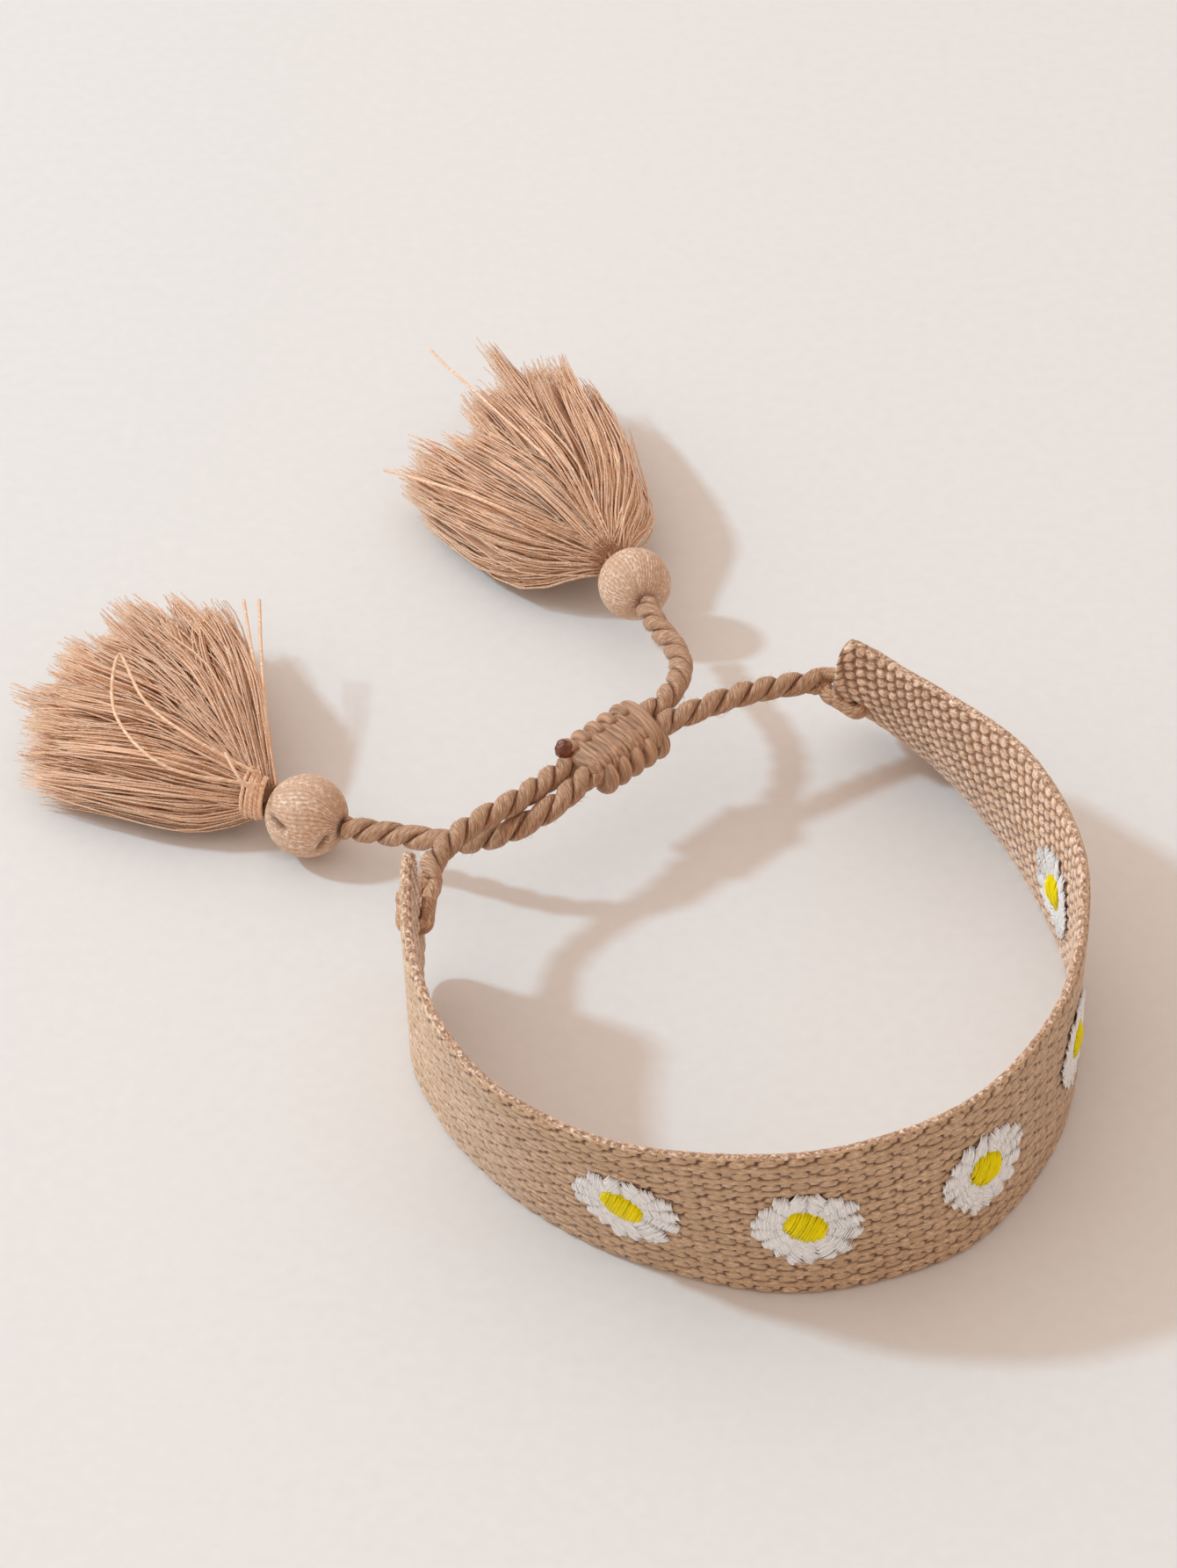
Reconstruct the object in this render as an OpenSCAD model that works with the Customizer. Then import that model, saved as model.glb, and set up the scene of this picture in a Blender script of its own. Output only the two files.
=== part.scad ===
// Woven cotton bracelet with embroidered daisies, a sliding knot and two tassels.
// The band stands on its long edge in a ring; the cords and tassels lie beside it.
// Millimetres, +Z up. Origin: middle of the band's footprint, at its lower edge.

/* [Band] */
// Width of the woven band, from edge to edge
band_width = 15; // [14.8:0.1:15.4]
// Thickness of the woven band
band_thick = 1; // [0.8:0.1:1.2]
// Diameter of the hole near each end that the cord loops through
hole_d = 1.8; // [1.6:0.1:2.2]
// Distance from the end of the band to that hole
hole_inset = 2.5; // [2.3:0.1:2.8]
// Height of the hole above the lower edge
hole_height = 7.5; // [7:0.1:8]

/* [Daisies] */
// Height of the flower centres above the lower edge
daisy_height = 7.9; // [6.5:0.1:8.5]
// Radius from the centre to the petal tips
petal_reach = 3.6; // [3:0.1:4]
// Radius of the yellow centre
eye_radius = 1.5; // [1.2:0.1:1.8]
// Height of the stitches above the weave
stitch_rise = 0.35; // [0.25:0.05:0.5]

/* [Cords] */
// Diameter of the twisted cord
cord_d = 1.65; // [1.5:0.05:1.7]
// Diameter of each of its two plies, where they part round the band's end
ply_d = 0.85; // [0.7:0.05:0.9]

/* [Sliding knot] */
// Length of the knot along the cords
knot_length = 7.2; // [6.5:0.1:7.6]
// Width of the wrap over both cords
knot_width = 4.4; // [4.3:0.1:4.8]
// Height of the wrap
knot_height = 3; // [2.8:0.1:3.6]

/* [Beads and tassels] */
// Diameter of the bead on the left tassel
left_bead_d = 6.2; // [5.6:0.1:6.4]
// Diameter of the bead on the far tassel
far_bead_d = 5.7; // [5.4:0.1:6]

/* [Hidden] */

// Stations of the band from its left end round the front to its far end.
// Columns: lower edge x, y, z; upper edge x, y; bow of the wall, minus towards the wrist.
STATIONS = [
    [-23.4,   2.6, 1.4, -23.8,  -0.8, -0.2],
    [-23.5,  -1.1, 0.8, -23.9,  -4.0, -0.2],
    [-23.5,  -4.5, 0.4, -23.8,  -6.6, -0.1],
    [-23.2,  -7.8, 0.1, -23.5,  -9.4,  0  ],
    [-22.0, -11.0, 0,   -22.9, -12.4,  0  ],
    [-19.7, -15.2, 0,   -21.2, -17.4,  0  ],
    [-15.1, -20.5, 0,   -17.1, -23.2,  0  ],
    [ -8.2, -25.1, 0,    -9.4, -28.0,  0  ],
    [  0.8, -27.9, 0,     0.6, -29.3,  0  ],
    [  8.3, -27.0, 0,     8.5, -27.5,  0  ],
    [ 15.4, -23.3, 0,    15.4, -23.1,  0  ],
    [ 21.0, -15.0, 0,    20.8, -15.0, -0.1],
    [ 23.4,  -5.8, 0,    23.0,  -5.8, -0.2],
    [ 23.8,   2.2, 0,    22.8,   2.0, -0.5],
    [ 21.7,  11.2, 0,    19.9,  10.2, -0.8],
    [ 18.3,  19.6, 0,    14.7,  16.8, -1.2],
    [ 15.6,  24.8, 0.2,  12.0,  20.0, -1.7],
    [ 12.6,  28.1, 1.2,   9.8,  21.9, -2.2],
    [  9.7,  30.2, 2.3,   7.8,  22.9, -2.5]];
// Corner radius of the band's cut ends: left, far
CORNERS = [2, 1.2];
// Where each daisy sits along the band's middle, from the left end
DAISIES = [33.7, 45.8, 58.9, 72.6, 87.3];
// Petals of each daisy
PETALS = 15;

// Middle line of the cord that starts at the band's left end
CORD_LEFT = [
    [-22.6,  2.7, 8.5], [-22.3,  4.8, 8.6], [-20.9,  7.1, 8.7], [-18.7,  9.3, 8.7],
    [-16.1, 11.5, 8.6], [-13.7, 14.1, 8.4], [-12.8, 15.1, 8.3], [-10.0, 17.9, 8.3],
    [ -7.2, 20.7, 8.3], [ -6.2, 21.7, 8.2], [ -4.9, 24.1, 7.8], [ -4.2, 27.3, 7.2],
    [ -4.7, 30.5, 6.6], [ -5.8, 33.2, 6.1], [ -6.7, 36.5, 5.5]];
// Middle line of the cord that starts at the band's far end
CORD_FAR = [
    [  6.1, 25.8, 7.2], [  3.5, 24.9, 7.6], [  0.9, 23.7, 8.0], [ -1.5, 22.4, 8.2],
    [ -3.4, 21.2, 8.3], [ -5.0, 20.3, 8.3], [ -6.0, 19.3, 8.3], [ -8.8, 16.5, 8.3],
    [-11.6, 13.7, 8.3], [-12.4, 12.7, 8.2], [-13.9, 11.2, 7.9], [-16.0, 10.2, 7.1],
    [-18.5, 10.0, 6.0], [-20.7, 10.6, 5.0], [-22.4, 11.4, 4.4], [-25.2, 12.6, 3.8],
    [-29.2, 13.8, 3.4]];
// Middle of the knot and its turn about the vertical
KNOT_AT = [-9.4, 17.2, 8.3];
KNOT_TURN = 45;
// Sideways distance of each cord from the knot's middle
KNOT_SPREAD = 0.92;
LEFT_BEAD_AT = [-32.1, 15.1, 3.4];
FAR_BEAD_AT = [-7.6, 39.5, 5.2];

// Locks of the tassels, from the front round to the right.
// Columns: middle x, y, z; tip x, y, z; radius at the middle; radius at the tip.
LEFT_LOCKS = [
    [-41.8, 18.1, 2.5, -53.2, 21.3, 2.0, 2.4, 1.4],
    [-42.6, 18.9, 4.8, -53.4, 22.7, 3.8, 2.1, 1.4],
    [-43.8, 23.1, 2.4, -54.0, 27.1, 2.0, 2.3, 1.7],
    [-42.9, 22.5, 5.2, -52.6, 28.7, 4.4, 2.1, 1.6],
    [-43.6, 27.7, 2.4, -51.4, 33.5, 2.0, 2.3, 1.8],
    [-42.1, 25.5, 5.2, -49.4, 33.9, 4.6, 2.2, 1.7],
    [-41.6, 30.1, 2.4, -47.4, 38.5, 2.2, 2.3, 1.7],
    [-40.0, 26.9, 5.2, -45.0, 36.5, 4.6, 2.1, 1.6],
    [-38.9, 28.5, 2.6, -42.0, 37.5, 2.6, 2.0, 1.3],
    [-37.8, 25.1, 4.6, -40.4, 36.1, 4.2, 1.8, 1.0]];
FAR_LOCKS = [
    [-16.6, 44.9, 3.0, -24.4, 53.5, 2.4, 2.2, 1.4],
    [-16.6, 45.5, 5.8, -25.2, 53.7, 4.4, 2.0, 1.5],
    [-17.0, 50.5, 3.0, -24.8, 58.3, 2.4, 2.2, 1.7],
    [-15.2, 48.5, 6.4, -22.2, 57.7, 4.8, 2.0, 1.4],
    [-14.0, 53.1, 3.2, -19.4, 61.9, 2.6, 2.2, 1.3],
    [-14.2, 51.5, 6.4, -20.4, 65.5, 5.0, 2.0, 1.5],
    [-13.0, 56.1, 3.2, -18.4, 69.9, 3.0, 2.2, 1.6],
    [-11.8, 52.9, 6.4, -16.2, 67.3, 5.0, 2.0, 1.5],
    [-10.6, 54.9, 3.4, -13.8, 68.7, 3.2, 2.2, 1.5],
    [ -9.4, 50.7, 5.8, -12.2, 64.1, 4.6, 2.0, 1.2],
    [ -8.6, 48.9, 3.8,  -9.8, 59.1, 4.0, 2.1, 0.9]];

// Cross-section of the band, counted round its edge.
// Columns: height and offset, as shares of the width and of half the thickness.
SECTION = [
    [0, 0.6], [0, -0.6],
    [0.015, -1], [0.19, -1], [0.34, -1], [0.5, -1], [0.66, -1], [0.81, -1], [0.985, -1],
    [1, -0.6], [1, 0.6],
    [0.985, 1], [0.81, 1], [0.66, 1], [0.5, 1], [0.34, 1], [0.19, 1], [0.015, 1]];

last = len(STATIONS) - 1;
spans_cut = 3;
clear = 0.08;

function unit(v) = v / norm(v);

// Smooth curve through the rows of a table, at the fractional row u
function row_at(rows, u) =
    let (n = len(rows) - 1, i = max(0, min(n - 1, floor(u))), t = u - i,
        b = rows[i], c = rows[i + 1],
        a = i > 0 ? rows[i - 1] : 2 * b - c,
        d = i < n - 1 ? rows[i + 2] : 2 * c - b)
    (2 * b + (c - a) * t + (2 * a - 5 * b + 4 * c - d) * t * t
        + (3 * b - a - 3 * c + d) * t * t * t) / 2;

// Lower edge, straight height and upward direction of the wall at station u.
// Where the wall leans, its lower edge is raised so that its corner stays on the floor.
function foot(r) = [r[0], r[1],
    max(0, r[2]) + 0.3 * band_thick * norm([r[3] - r[0], r[4] - r[1]]) / band_width];
function chord(r) = band_width * (1 - 8 / 3 * pow(r[5] / band_width, 2));
function rise(r) = sqrt(pow(chord(r), 2) - pow(r[3] - r[0], 2) - pow(r[4] - r[1], 2));
function up(r) = [r[3] - r[0], r[4] - r[1], rise(r)] / chord(r);
function middle(u) = let (r = row_at(STATIONS, u)) foot(r) + up(r) * chord(r) / 2;
function along(u) = unit(middle(u + 0.05) - middle(u - 0.05));
function outward(u) = unit(cross(along(u), up(row_at(STATIONS, u))));

// Point of the band at station u, height v above its lower edge and offset w outwards
function band_point(u, v, w) =
    let (r = row_at(STATIONS, u), t = v / band_width)
    foot(r) + up(r) * chord(r) * t + outward(u) * (4 * t * (1 - t) * r[5] + w);

// Length along the band's middle up to each cut, and the station at a given length
CUTS = [for (i = [0 : last * spans_cut]) i / spans_cut];
STEPS = [for (i = [1 : len(CUTS) - 1])
    norm(band_point(CUTS[i], band_width / 2, 0) - band_point(CUTS[i - 1], band_width / 2, 0))];
function total(list, n) = n <= 0 ? 0 : list[n - 1] + total(list, n - 1);
LENGTHS = [for (i = [0 : len(CUTS) - 1]) [total(STEPS, i), CUTS[i]]];
band_length = LENGTHS[len(CUTS) - 1][0];
function station(s) = lookup(s, LENGTHS);

// Ring of the band at length s, with its corners drawn in by the given depth
function band_ring(s, depth, thin) =
    [for (p = SECTION) band_point(station(s),
        depth + p[0] * (band_width - 2 * depth), p[1] * thin * band_thick / 2)];
function corner_depth(radius, e) = radius - sqrt(pow(radius, 2) - pow(radius - e, 2));

// Closed skin over a list of rings with the same number of points; a fan closes each end
function centre(ring) = [for (k = [0 : 2]) total([for (p = ring) p[k]], len(ring)) / len(ring)];
module skin(rings) {
    n = len(rings[0]);
    m = len(rings);
    polyhedron(
        points = concat([for (ring = rings) for (p = ring) p], [centre(rings[0]), centre(rings[m - 1])]),
        faces = concat(
            [for (j = [0 : n - 1]) [m * n, j, (j + 1) % n]],
            [for (i = [0 : m - 2]) for (j = [0 : n - 1])
                [i * n + j, (i + 1) * n + j, (i + 1) * n + (j + 1) % n]],
            [for (i = [0 : m - 2]) for (j = [0 : n - 1])
                [i * n + j, (i + 1) * n + (j + 1) % n, i * n + (j + 1) % n]],
            [for (j = [0 : n - 1]) [m * n + 1, (m - 1) * n + (j + 1) % n, (m - 1) * n + j]]),
        convexity = 10);
}

// Rings of a tube of the given radii along a list of points; ref is kept across its sides
function tube_rings(path, radii, sides, ref) =
    [for (i = [0 : len(path) - 1])
        let (t = unit(path[min(i + 1, len(path) - 1)] - path[max(i - 1, 0)]),
            across = unit(cross(t, ref)), over = cross(across, t))
        [for (j = [0 : sides - 1]) let (a = 360 * j / sides)
            path[i] + radii[i] * (cos(a) * across - sin(a) * over)]];

function smooth(points, cuts) =
    [for (i = [0 : (len(points) - 1) * cuts]) row_at(points, i / cuts)];

module band() {
    starts = [for (k = [0, 0.12, 0.4, 0.7, 1]) k * CORNERS[0]];
    ends = [for (k = [1, 0.7, 0.4, 0.12, 0]) k * CORNERS[1]];
    inner = [for (p = LENGTHS) if (p[0] > CORNERS[0] + 0.4 && p[0] < band_length - CORNERS[1] - 0.4) p[0]];
    color([0.66, 0.52, 0.42]) difference() {
        skin(concat(
            [for (e = starts) band_ring(e, corner_depth(CORNERS[0], e), e == 0 ? 0.6 : 1)],
            [for (s = inner) band_ring(s, 0, 1)],
            [for (e = ends) band_ring(band_length - e, corner_depth(CORNERS[1], e), e == 0 ? 0.6 : 1)]));
        cord_hole(hole_inset);
        cord_hole(band_length - hole_inset);
    }
}

// Round hole through the band at length s
module cord_hole(s) {
    u = station(s);
    o = outward(u);
    translate(band_point(u, hole_height, 0))
        rotate([0, acos(o[2]), atan2(o[1], o[0])])
            cylinder(h = 3 * band_thick, d = hole_d, center = true, $fn = 32);
}

// Point of a flower: polar place round its centre, offset w outwards from the mid-plane
function flower_point(s, angle, reach, w) =
    let (v = daisy_height + reach * sin(angle))
    band_point(station(s + reach * cos(angle)), v, w);

// One lobed ring of petals on the outer face (side = 1) or the inner face (side = -1)
module petals(number, side) {
    s = DAISIES[number - 1];
    cuts = PETALS * 2;
    low = band_thick / 2 + clear;
    high = band_thick / 2 + stitch_rise;
    color([0.86, 0.84, 0.82]) ring_skin(
        [for (i = [0 : cuts - 1]) let (a = 360 * i / cuts + 7 * number,
                tip = petal_reach * (i % 2 == 0 ? 1 : 0.87) - 0.2 * pow(sin(a * 2 + 40 * number), 2))
            [flower_point(s, a, eye_radius + clear, side * low),
             flower_point(s, a, eye_radius + clear, side * high),
             flower_point(s, a, 0.7 * tip + 0.3 * eye_radius, side * high),
             flower_point(s, a, tip, side * low)]], side);
}

// Closed ring-shaped skin over sections that follow each other in a circle
module ring_skin(sections, side) {
    n = len(sections[0]);
    m = len(sections);
    quads = [for (i = [0 : m - 1]) for (j = [0 : n - 1])
        [i * n + j, ((i + 1) % m) * n + j, ((i + 1) % m) * n + (j + 1) % n, i * n + (j + 1) % n]];
    polyhedron(
        points = [for (part = sections) for (p = part) p],
        faces = concat(
            [for (q = quads) side > 0 ? [q[0], q[1], q[2]] : [q[2], q[1], q[0]]],
            [for (q = quads) side > 0 ? [q[0], q[2], q[3]] : [q[3], q[2], q[0]]]),
        convexity = 6);
}

// Low domed disc in the middle of a flower
module eye(number, side) {
    s = DAISIES[number - 1];
    low = band_thick / 2 + clear;
    rings = [[1, 0], [1, 0.6], [0.6, 1]];
    cuts = 16;
    layers = [for (r = rings) [for (i = [0 : cuts - 1])
        flower_point(s, side * 360 * i / cuts, r[0] * eye_radius, side * (low + r[1] * stitch_rise))]];
    color([0.9, 0.78, 0.08]) skin(layers);
}

// Twisted cord along its route
module cord(route) {
    path = smooth(route, 2);
    color([0.67, 0.49, 0.36])
        skin(tube_rings(path, [for (p = path) cord_d / 2], 8, [0, 0, 1]));
}

// The two plies of a cord, parted round the end of the band and joined through its hole.
// s is where the hole lies, way is 1 at the left end and -1 at the far end.
module cord_loop(route, s, way) {
    u = station(s);
    o = outward(u);
    back = -way * along(u);
    hole = band_point(u, hole_height, 0);
    t = unit(route[0] - route[1]);
    // distance from the hole towards the cord, and offset outwards
    bends = [[2.7, 1.15], [2, 1.15], [1.2, 1.15], [0.6, 1.15], [0.2, 0.95], [0, 0.4],
        [0, -0.4], [0.2, -0.95], [0.6, -1.15], [1.2, -1.25], [2, -1.3], [2.8, -1.3]];
    aside = unit(o - (o * t) * t);
    plies = concat(
        [route[0] + 0.3 * t + 0.46 * aside, route[0] + 0.6 * t + 0.46 * aside],
        [for (p = bends) hole + p[0] * back + p[1] * o],
        [route[0] + 0.6 * t - 0.46 * aside, route[0] + 0.3 * t - 0.46 * aside]);
    color([0.67, 0.49, 0.36])
        skin(tube_rings(plies, [for (p = plies) ply_d / 2], 8, up(row_at(STATIONS, u))));
}

module sliding_knot() {
    color([0.64, 0.46, 0.34]) translate(KNOT_AT) rotate([0, 0, KNOT_TURN]) difference() {
        union() {
            // wrap over both cords
            rotate([90, 0, 90]) linear_extrude(knot_length, center = true) {
                square([knot_width - knot_height, knot_height], center = true);
                for (side = [-1, 1])
                    translate([side * (knot_width - knot_height) / 2, 0]) circle(d = knot_height, $fn = 40);
            }
            // turns of the wrapping cord along both sides
            for (side = [-1, 1]) for (i = [-1.5 : 1 : 1.5])
                translate([i * knot_length / 4, side * knot_width * 0.4, -0.1]) sphere(r = 0.85, $fn = 24);
            // sealed end of the wrapping cord
            translate([-knot_length * 0.48, knot_width * 0.36, 1.1]) sphere(r = 0.7, $fn = 24);
        }
        for (side = [-1, 1])
            translate([0, side * KNOT_SPREAD, 0]) rotate([0, 90, 0])
                cylinder(h = 2 * knot_length, d = cord_d + 0.2, center = true, $fn = 32);
    }
}

module bead(at, d) {
    color([0.75, 0.57, 0.45]) translate(at) sphere(d = d, $fn = 48);
}

// Tassel: a short bound neck behind its bead and locks that spread from it
module tassel(at, bead_d, turn, neck_r, locks) {
    aim = [cos(turn), sin(turn), 0];
    neck = at + (bead_d / 2 + clear) * aim;
    color([0.73, 0.55, 0.42]) union() {
        skin(tube_rings(
            [neck, neck + 0.5 * aim, neck + 1.6 * aim, neck + 2.4 * aim],
            [0.6 * neck_r, 0.95 * neck_r, neck_r, 0.8 * neck_r], 12, [0, 0, 1]));
        for (k = locks) lock(neck + 0.9 * aim, 0.5 * neck_r, k);
    }
}

// One tapered lock that swells behind the neck and is cut off blunt at its tip
module lock(start, start_r, k) {
    belly = [k[0], k[1], k[2]];
    tip = [k[3], k[4], k[5]];
    path = smooth([start, 0.6 * start + 0.4 * belly, belly, 0.45 * belly + 0.55 * tip, tip], 2);
    sizes = smooth([[start_r], [0.8 * k[6]], [k[6]], [0.5 * k[6] + 0.5 * k[7]], [k[7]]], 2);
    skin(tube_rings(path, [for (r = sizes) r[0]], 8, [0, 0, 1]));
}

module left_bead() { bead(LEFT_BEAD_AT, left_bead_d); }
module far_bead() { bead(FAR_BEAD_AT, far_bead_d); }
module cord_left() { cord(CORD_LEFT); }
module cord_far() { cord(CORD_FAR); }
module cord_left_loop() { cord_loop(CORD_LEFT, hole_inset, 1); }
module cord_far_loop() { cord_loop(CORD_FAR, band_length - hole_inset, -1); }
module left_tassel() { tassel(LEFT_BEAD_AT, left_bead_d, 150, 2.2, LEFT_LOCKS); }
module far_tassel() { tassel(FAR_BEAD_AT, far_bead_d, 124, 2.6, FAR_LOCKS); }

band();
petals(1, 1);  // daisy_1_petals
petals(2, 1);  // daisy_2_petals
petals(3, 1);  // daisy_3_petals
petals(4, 1);  // daisy_4_petals
petals(5, 1);  // daisy_5_petals
eye(1, 1);  // daisy_1_eye
eye(2, 1);  // daisy_2_eye
eye(3, 1);  // daisy_3_eye
eye(4, 1);  // daisy_4_eye
eye(5, 1);  // daisy_5_eye
petals(1, -1);  // daisy_1_petals_inside
petals(2, -1);  // daisy_2_petals_inside
petals(3, -1);  // daisy_3_petals_inside
petals(4, -1);  // daisy_4_petals_inside
petals(5, -1);  // daisy_5_petals_inside
eye(1, -1);  // daisy_1_eye_inside
eye(2, -1);  // daisy_2_eye_inside
eye(3, -1);  // daisy_3_eye_inside
eye(4, -1);  // daisy_4_eye_inside
eye(5, -1);  // daisy_5_eye_inside
cord_left();
cord_far();
cord_left_loop();
cord_far_loop();
sliding_knot();
left_bead();
far_bead();
left_tassel();
far_tassel();
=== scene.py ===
# %% [markdown]
# # A woven bracelet with daisies
#
# The real bracelet is a cotton band 15 mm wide, woven so closely that only its long threads
# show. Five daisies are embroidered on it. A twisted cord is looped through each end of the
# band, and the two cords run side by side through a knot that slides on them. Each cord ends
# in a bead wound with thread and in a tassel.
#
# The solid model of all this comes in as a fixed frame. This lesson dresses it: each soft solid
# gives way to a piece that follows the same table of points but shows the threads. Lengths are
# millimetres while a shape is worked out, and metres once it is a mesh.

# %% Load the solid model
import math

import bpy
import numpy as np
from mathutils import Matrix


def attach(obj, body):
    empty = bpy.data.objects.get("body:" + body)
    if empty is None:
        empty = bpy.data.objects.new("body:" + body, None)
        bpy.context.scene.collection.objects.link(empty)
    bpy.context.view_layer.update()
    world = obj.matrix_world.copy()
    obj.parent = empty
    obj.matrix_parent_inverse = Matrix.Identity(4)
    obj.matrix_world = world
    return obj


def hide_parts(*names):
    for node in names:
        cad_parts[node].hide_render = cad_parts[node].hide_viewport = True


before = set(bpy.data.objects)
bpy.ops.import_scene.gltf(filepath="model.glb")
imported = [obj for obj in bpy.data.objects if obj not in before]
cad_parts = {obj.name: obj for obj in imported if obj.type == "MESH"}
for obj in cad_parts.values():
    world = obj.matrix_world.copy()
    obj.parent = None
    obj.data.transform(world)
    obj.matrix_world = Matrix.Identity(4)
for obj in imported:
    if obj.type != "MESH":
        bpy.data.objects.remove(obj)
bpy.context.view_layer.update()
MM = 0.001
rng = np.random.default_rng(15)
print("nodes in the frame:", len(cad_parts))

# %% [markdown]
# ## The camera
#
# The photograph looks down on the bracelet at 43 degrees from about a third of a metre, through
# a long lens, so near and far parts have almost one scale. A plain camera object with those
# numbers gives the same view, and no shift or blur is needed.

# %% Camera
camera_data = bpy.data.cameras.new("bracelet_camera")
camera_data.sensor_fit = "VERTICAL"
camera_data.sensor_height = 36.0
camera_data.lens = 100.84
camera_data.clip_start = 0.01
camera = bpy.data.objects.new("bracelet_camera", camera_data)
camera.location = (-0.0112, -0.22158, 0.22733)
camera.rotation_euler = (math.radians(47), 0, 0)
bpy.context.scene.collection.objects.link(camera)
bpy.context.scene.camera = camera
print("camera at", tuple(camera.location))

# %% [markdown]
# ## Curves through tables of points
#
# The band and the cords are known by a few points each. A smooth curve through them can be
# drawn with a Bezier object, but then its points aren't to hand for the weave. So the curve is
# worked out here, for any number of places at once.

# %% Smooth curves
FINE_STEPS = 40


def unit(v):
    """Each vector divided by its own length."""
    return v / np.linalg.norm(v, axis=-1, keepdims=True)


def row_at(rows, u):
    """Catmull-Rom curve: between rows b and c, with a before and d after, the place is half of
    2b + (c - a)t + (2a - 5b + 4c - d)t^2 + (3b - a - 3c + d)t^3."""
    rows = np.asarray(rows, float)
    u = np.asarray(u, float)
    n = len(rows) - 1
    i = np.clip(np.floor(u).astype(int), 0, n - 1)
    t = (u - i)[..., None]
    b = rows[i]
    c = rows[i + 1]
    a = np.where((i > 0)[..., None], rows[np.maximum(i - 1, 0)], 2 * b - c)
    d = np.where((i < n - 1)[..., None], rows[np.minimum(i + 2, n)], 2 * c - b)
    cubic = (3 * b - a - 3 * c + d) * t ** 3
    return (2 * b + (c - a) * t + (2 * a - 5 * b + 4 * c - d) * t ** 2 + cubic) / 2


def lengths_along(path):
    """Running length of a line of points, starting at nought."""
    steps = np.linalg.norm(np.diff(path, axis=0), axis=1)
    return np.concatenate([[0], np.cumsum(steps)])


def even_path(rows, step):
    """The smooth curve through rows, with points an even step apart."""
    fine = row_at(rows, np.linspace(0, len(rows) - 1, FINE_STEPS * len(rows)))
    run = lengths_along(fine)
    wanted = np.linspace(0, run[-1], int(run[-1] / step) + 1)
    return np.stack([np.interp(wanted, run, fine[:, k]) for k in range(3)], axis=1)


# %% [markdown]
# ## From arrays to a mesh
#
# Every piece is a net of points with rows and columns. One helper joins a net into faces, and
# one writes points, faces, the threads' own map and two values per point into a mesh. The first
# value, painted_shade, is 0 deep between threads and 1 on their crests: painted shade that darkens
# the colour in the hollows. The second, tone, is mostly the same all over one thread, so that the
# materials can vary from thread to thread, and in a few places it also carries painted light.
# The same helper says which body a piece rides on and which solid it replaces.

# %% Nets and meshes
def net_faces(rows, cols):
    """Four-sided faces of a net whose last column joins its first, and the row and column
    number at each of their corners."""
    i, j = np.meshgrid(np.arange(rows - 1), np.arange(cols), indexing="ij")
    ii = np.stack([i, i, i + 1, i + 1], axis=-1).reshape(-1, 4)
    jj = np.stack([j, j + 1, j + 1, j], axis=-1).reshape(-1, 4)
    return ii * cols + jj % cols, ii, jj


def volume_of(points, faces):
    """Signed volume of a closed mesh: a sixth of each triangle's corner product, added up."""
    total = 0.0
    for group in faces:
        p = points[group]
        for k in range(1, group.shape[1] - 1):
            total += np.einsum("ij,ij->", p[:, 0], np.cross(p[:, k], p[:, k + 1])) / 6
    return total


# %% From arrays to a piece
def add_piece(name, points, faces, maps, painted_shade, tone, material, slot, node=None):
    """Puts a piece into the scene. faces and maps are lists: a group of faces with the same
    number of corners, and the threads' map at those corners, in millimetres. hollow and tone
    are one number for all points or one number for each."""
    places = points.reshape(-1, 3)
    mesh = bpy.data.meshes.new(name)
    loops = np.concatenate([group.ravel() for group in faces])
    sizes = np.concatenate([np.full(len(group), group.shape[1]) for group in faces])
    mesh.vertices.add(len(places))
    mesh.vertices.foreach_set("co", (places * MM).astype(np.float32).ravel())
    mesh.loops.add(len(loops))
    mesh.loops.foreach_set("vertex_index", loops.astype(np.int32))
    mesh.polygons.add(len(sizes))
    starts = np.concatenate([[0], np.cumsum(sizes)[:-1]])
    mesh.polygons.foreach_set("loop_start", starts.astype(np.int32))
    mesh.polygons.foreach_set("use_smooth", np.ones(len(sizes), bool))
    mesh.update(calc_edges=True)
    layer = mesh.uv_layers.new(name="threads")
    uv = np.concatenate([m.reshape(-1, 2) for m in maps])
    layer.data.foreach_set("uv", uv.astype(np.float32).ravel())
    for label, values in (("painted_shade", painted_shade), ("tone", tone)):
        values = np.broadcast_to(values, points.shape[:-1]).astype(np.float32)
        mesh.attributes.new(label, "FLOAT", "POINT").data.foreach_set("value", values.ravel())
    mesh.materials.append(material)
    piece = bpy.data.objects.new(name, mesh)
    bpy.context.scene.collection.objects.link(piece)
    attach(piece, "root")
    if node:
        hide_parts(node)
    triangles = int((sizes - 2).sum())
    print(f"{name}: {triangles} triangles, {volume_of(places, faces):.1f} cubic mm")
    return piece


def join_parts(parts):
    """Several (points, faces, maps, hollow, tone) in one set of arrays, numbered on."""
    count = 0
    points, faces, maps, painted_shade, tone = [], [], [], [], []
    for p, f, m, h, t in parts:
        points.append(p.reshape(-1, 3))
        faces += [group + count for group in f]
        maps += m
        painted_shade.append(np.broadcast_to(h, p.shape[:-1]).ravel())
        tone.append(np.broadcast_to(t, p.shape[:-1]).ravel())
        count += len(points[-1])
    return np.concatenate(points), faces, maps, np.concatenate(painted_shade), np.concatenate(tone)


# %% [markdown]
# ## Tubes of thread
#
# Plies, stitches and tassel strands are all round threads that follow a line. Curve objects
# with a bevel would draw them, but hundreds of them are quicker as one array: every ring of
# every thread is a circle laid across the direction in which the thread runs there.

# %% Thread tubes
MAP_STEP = 3.7


def ring_frame(paths, ref):
    """The direction along each path and two across it: the first square to it and to ref, and
    the second square to both."""
    t = unit(np.gradient(paths, axis=-2))
    across = unit(np.cross(t, ref))
    return t, across, np.cross(t, across)


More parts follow.
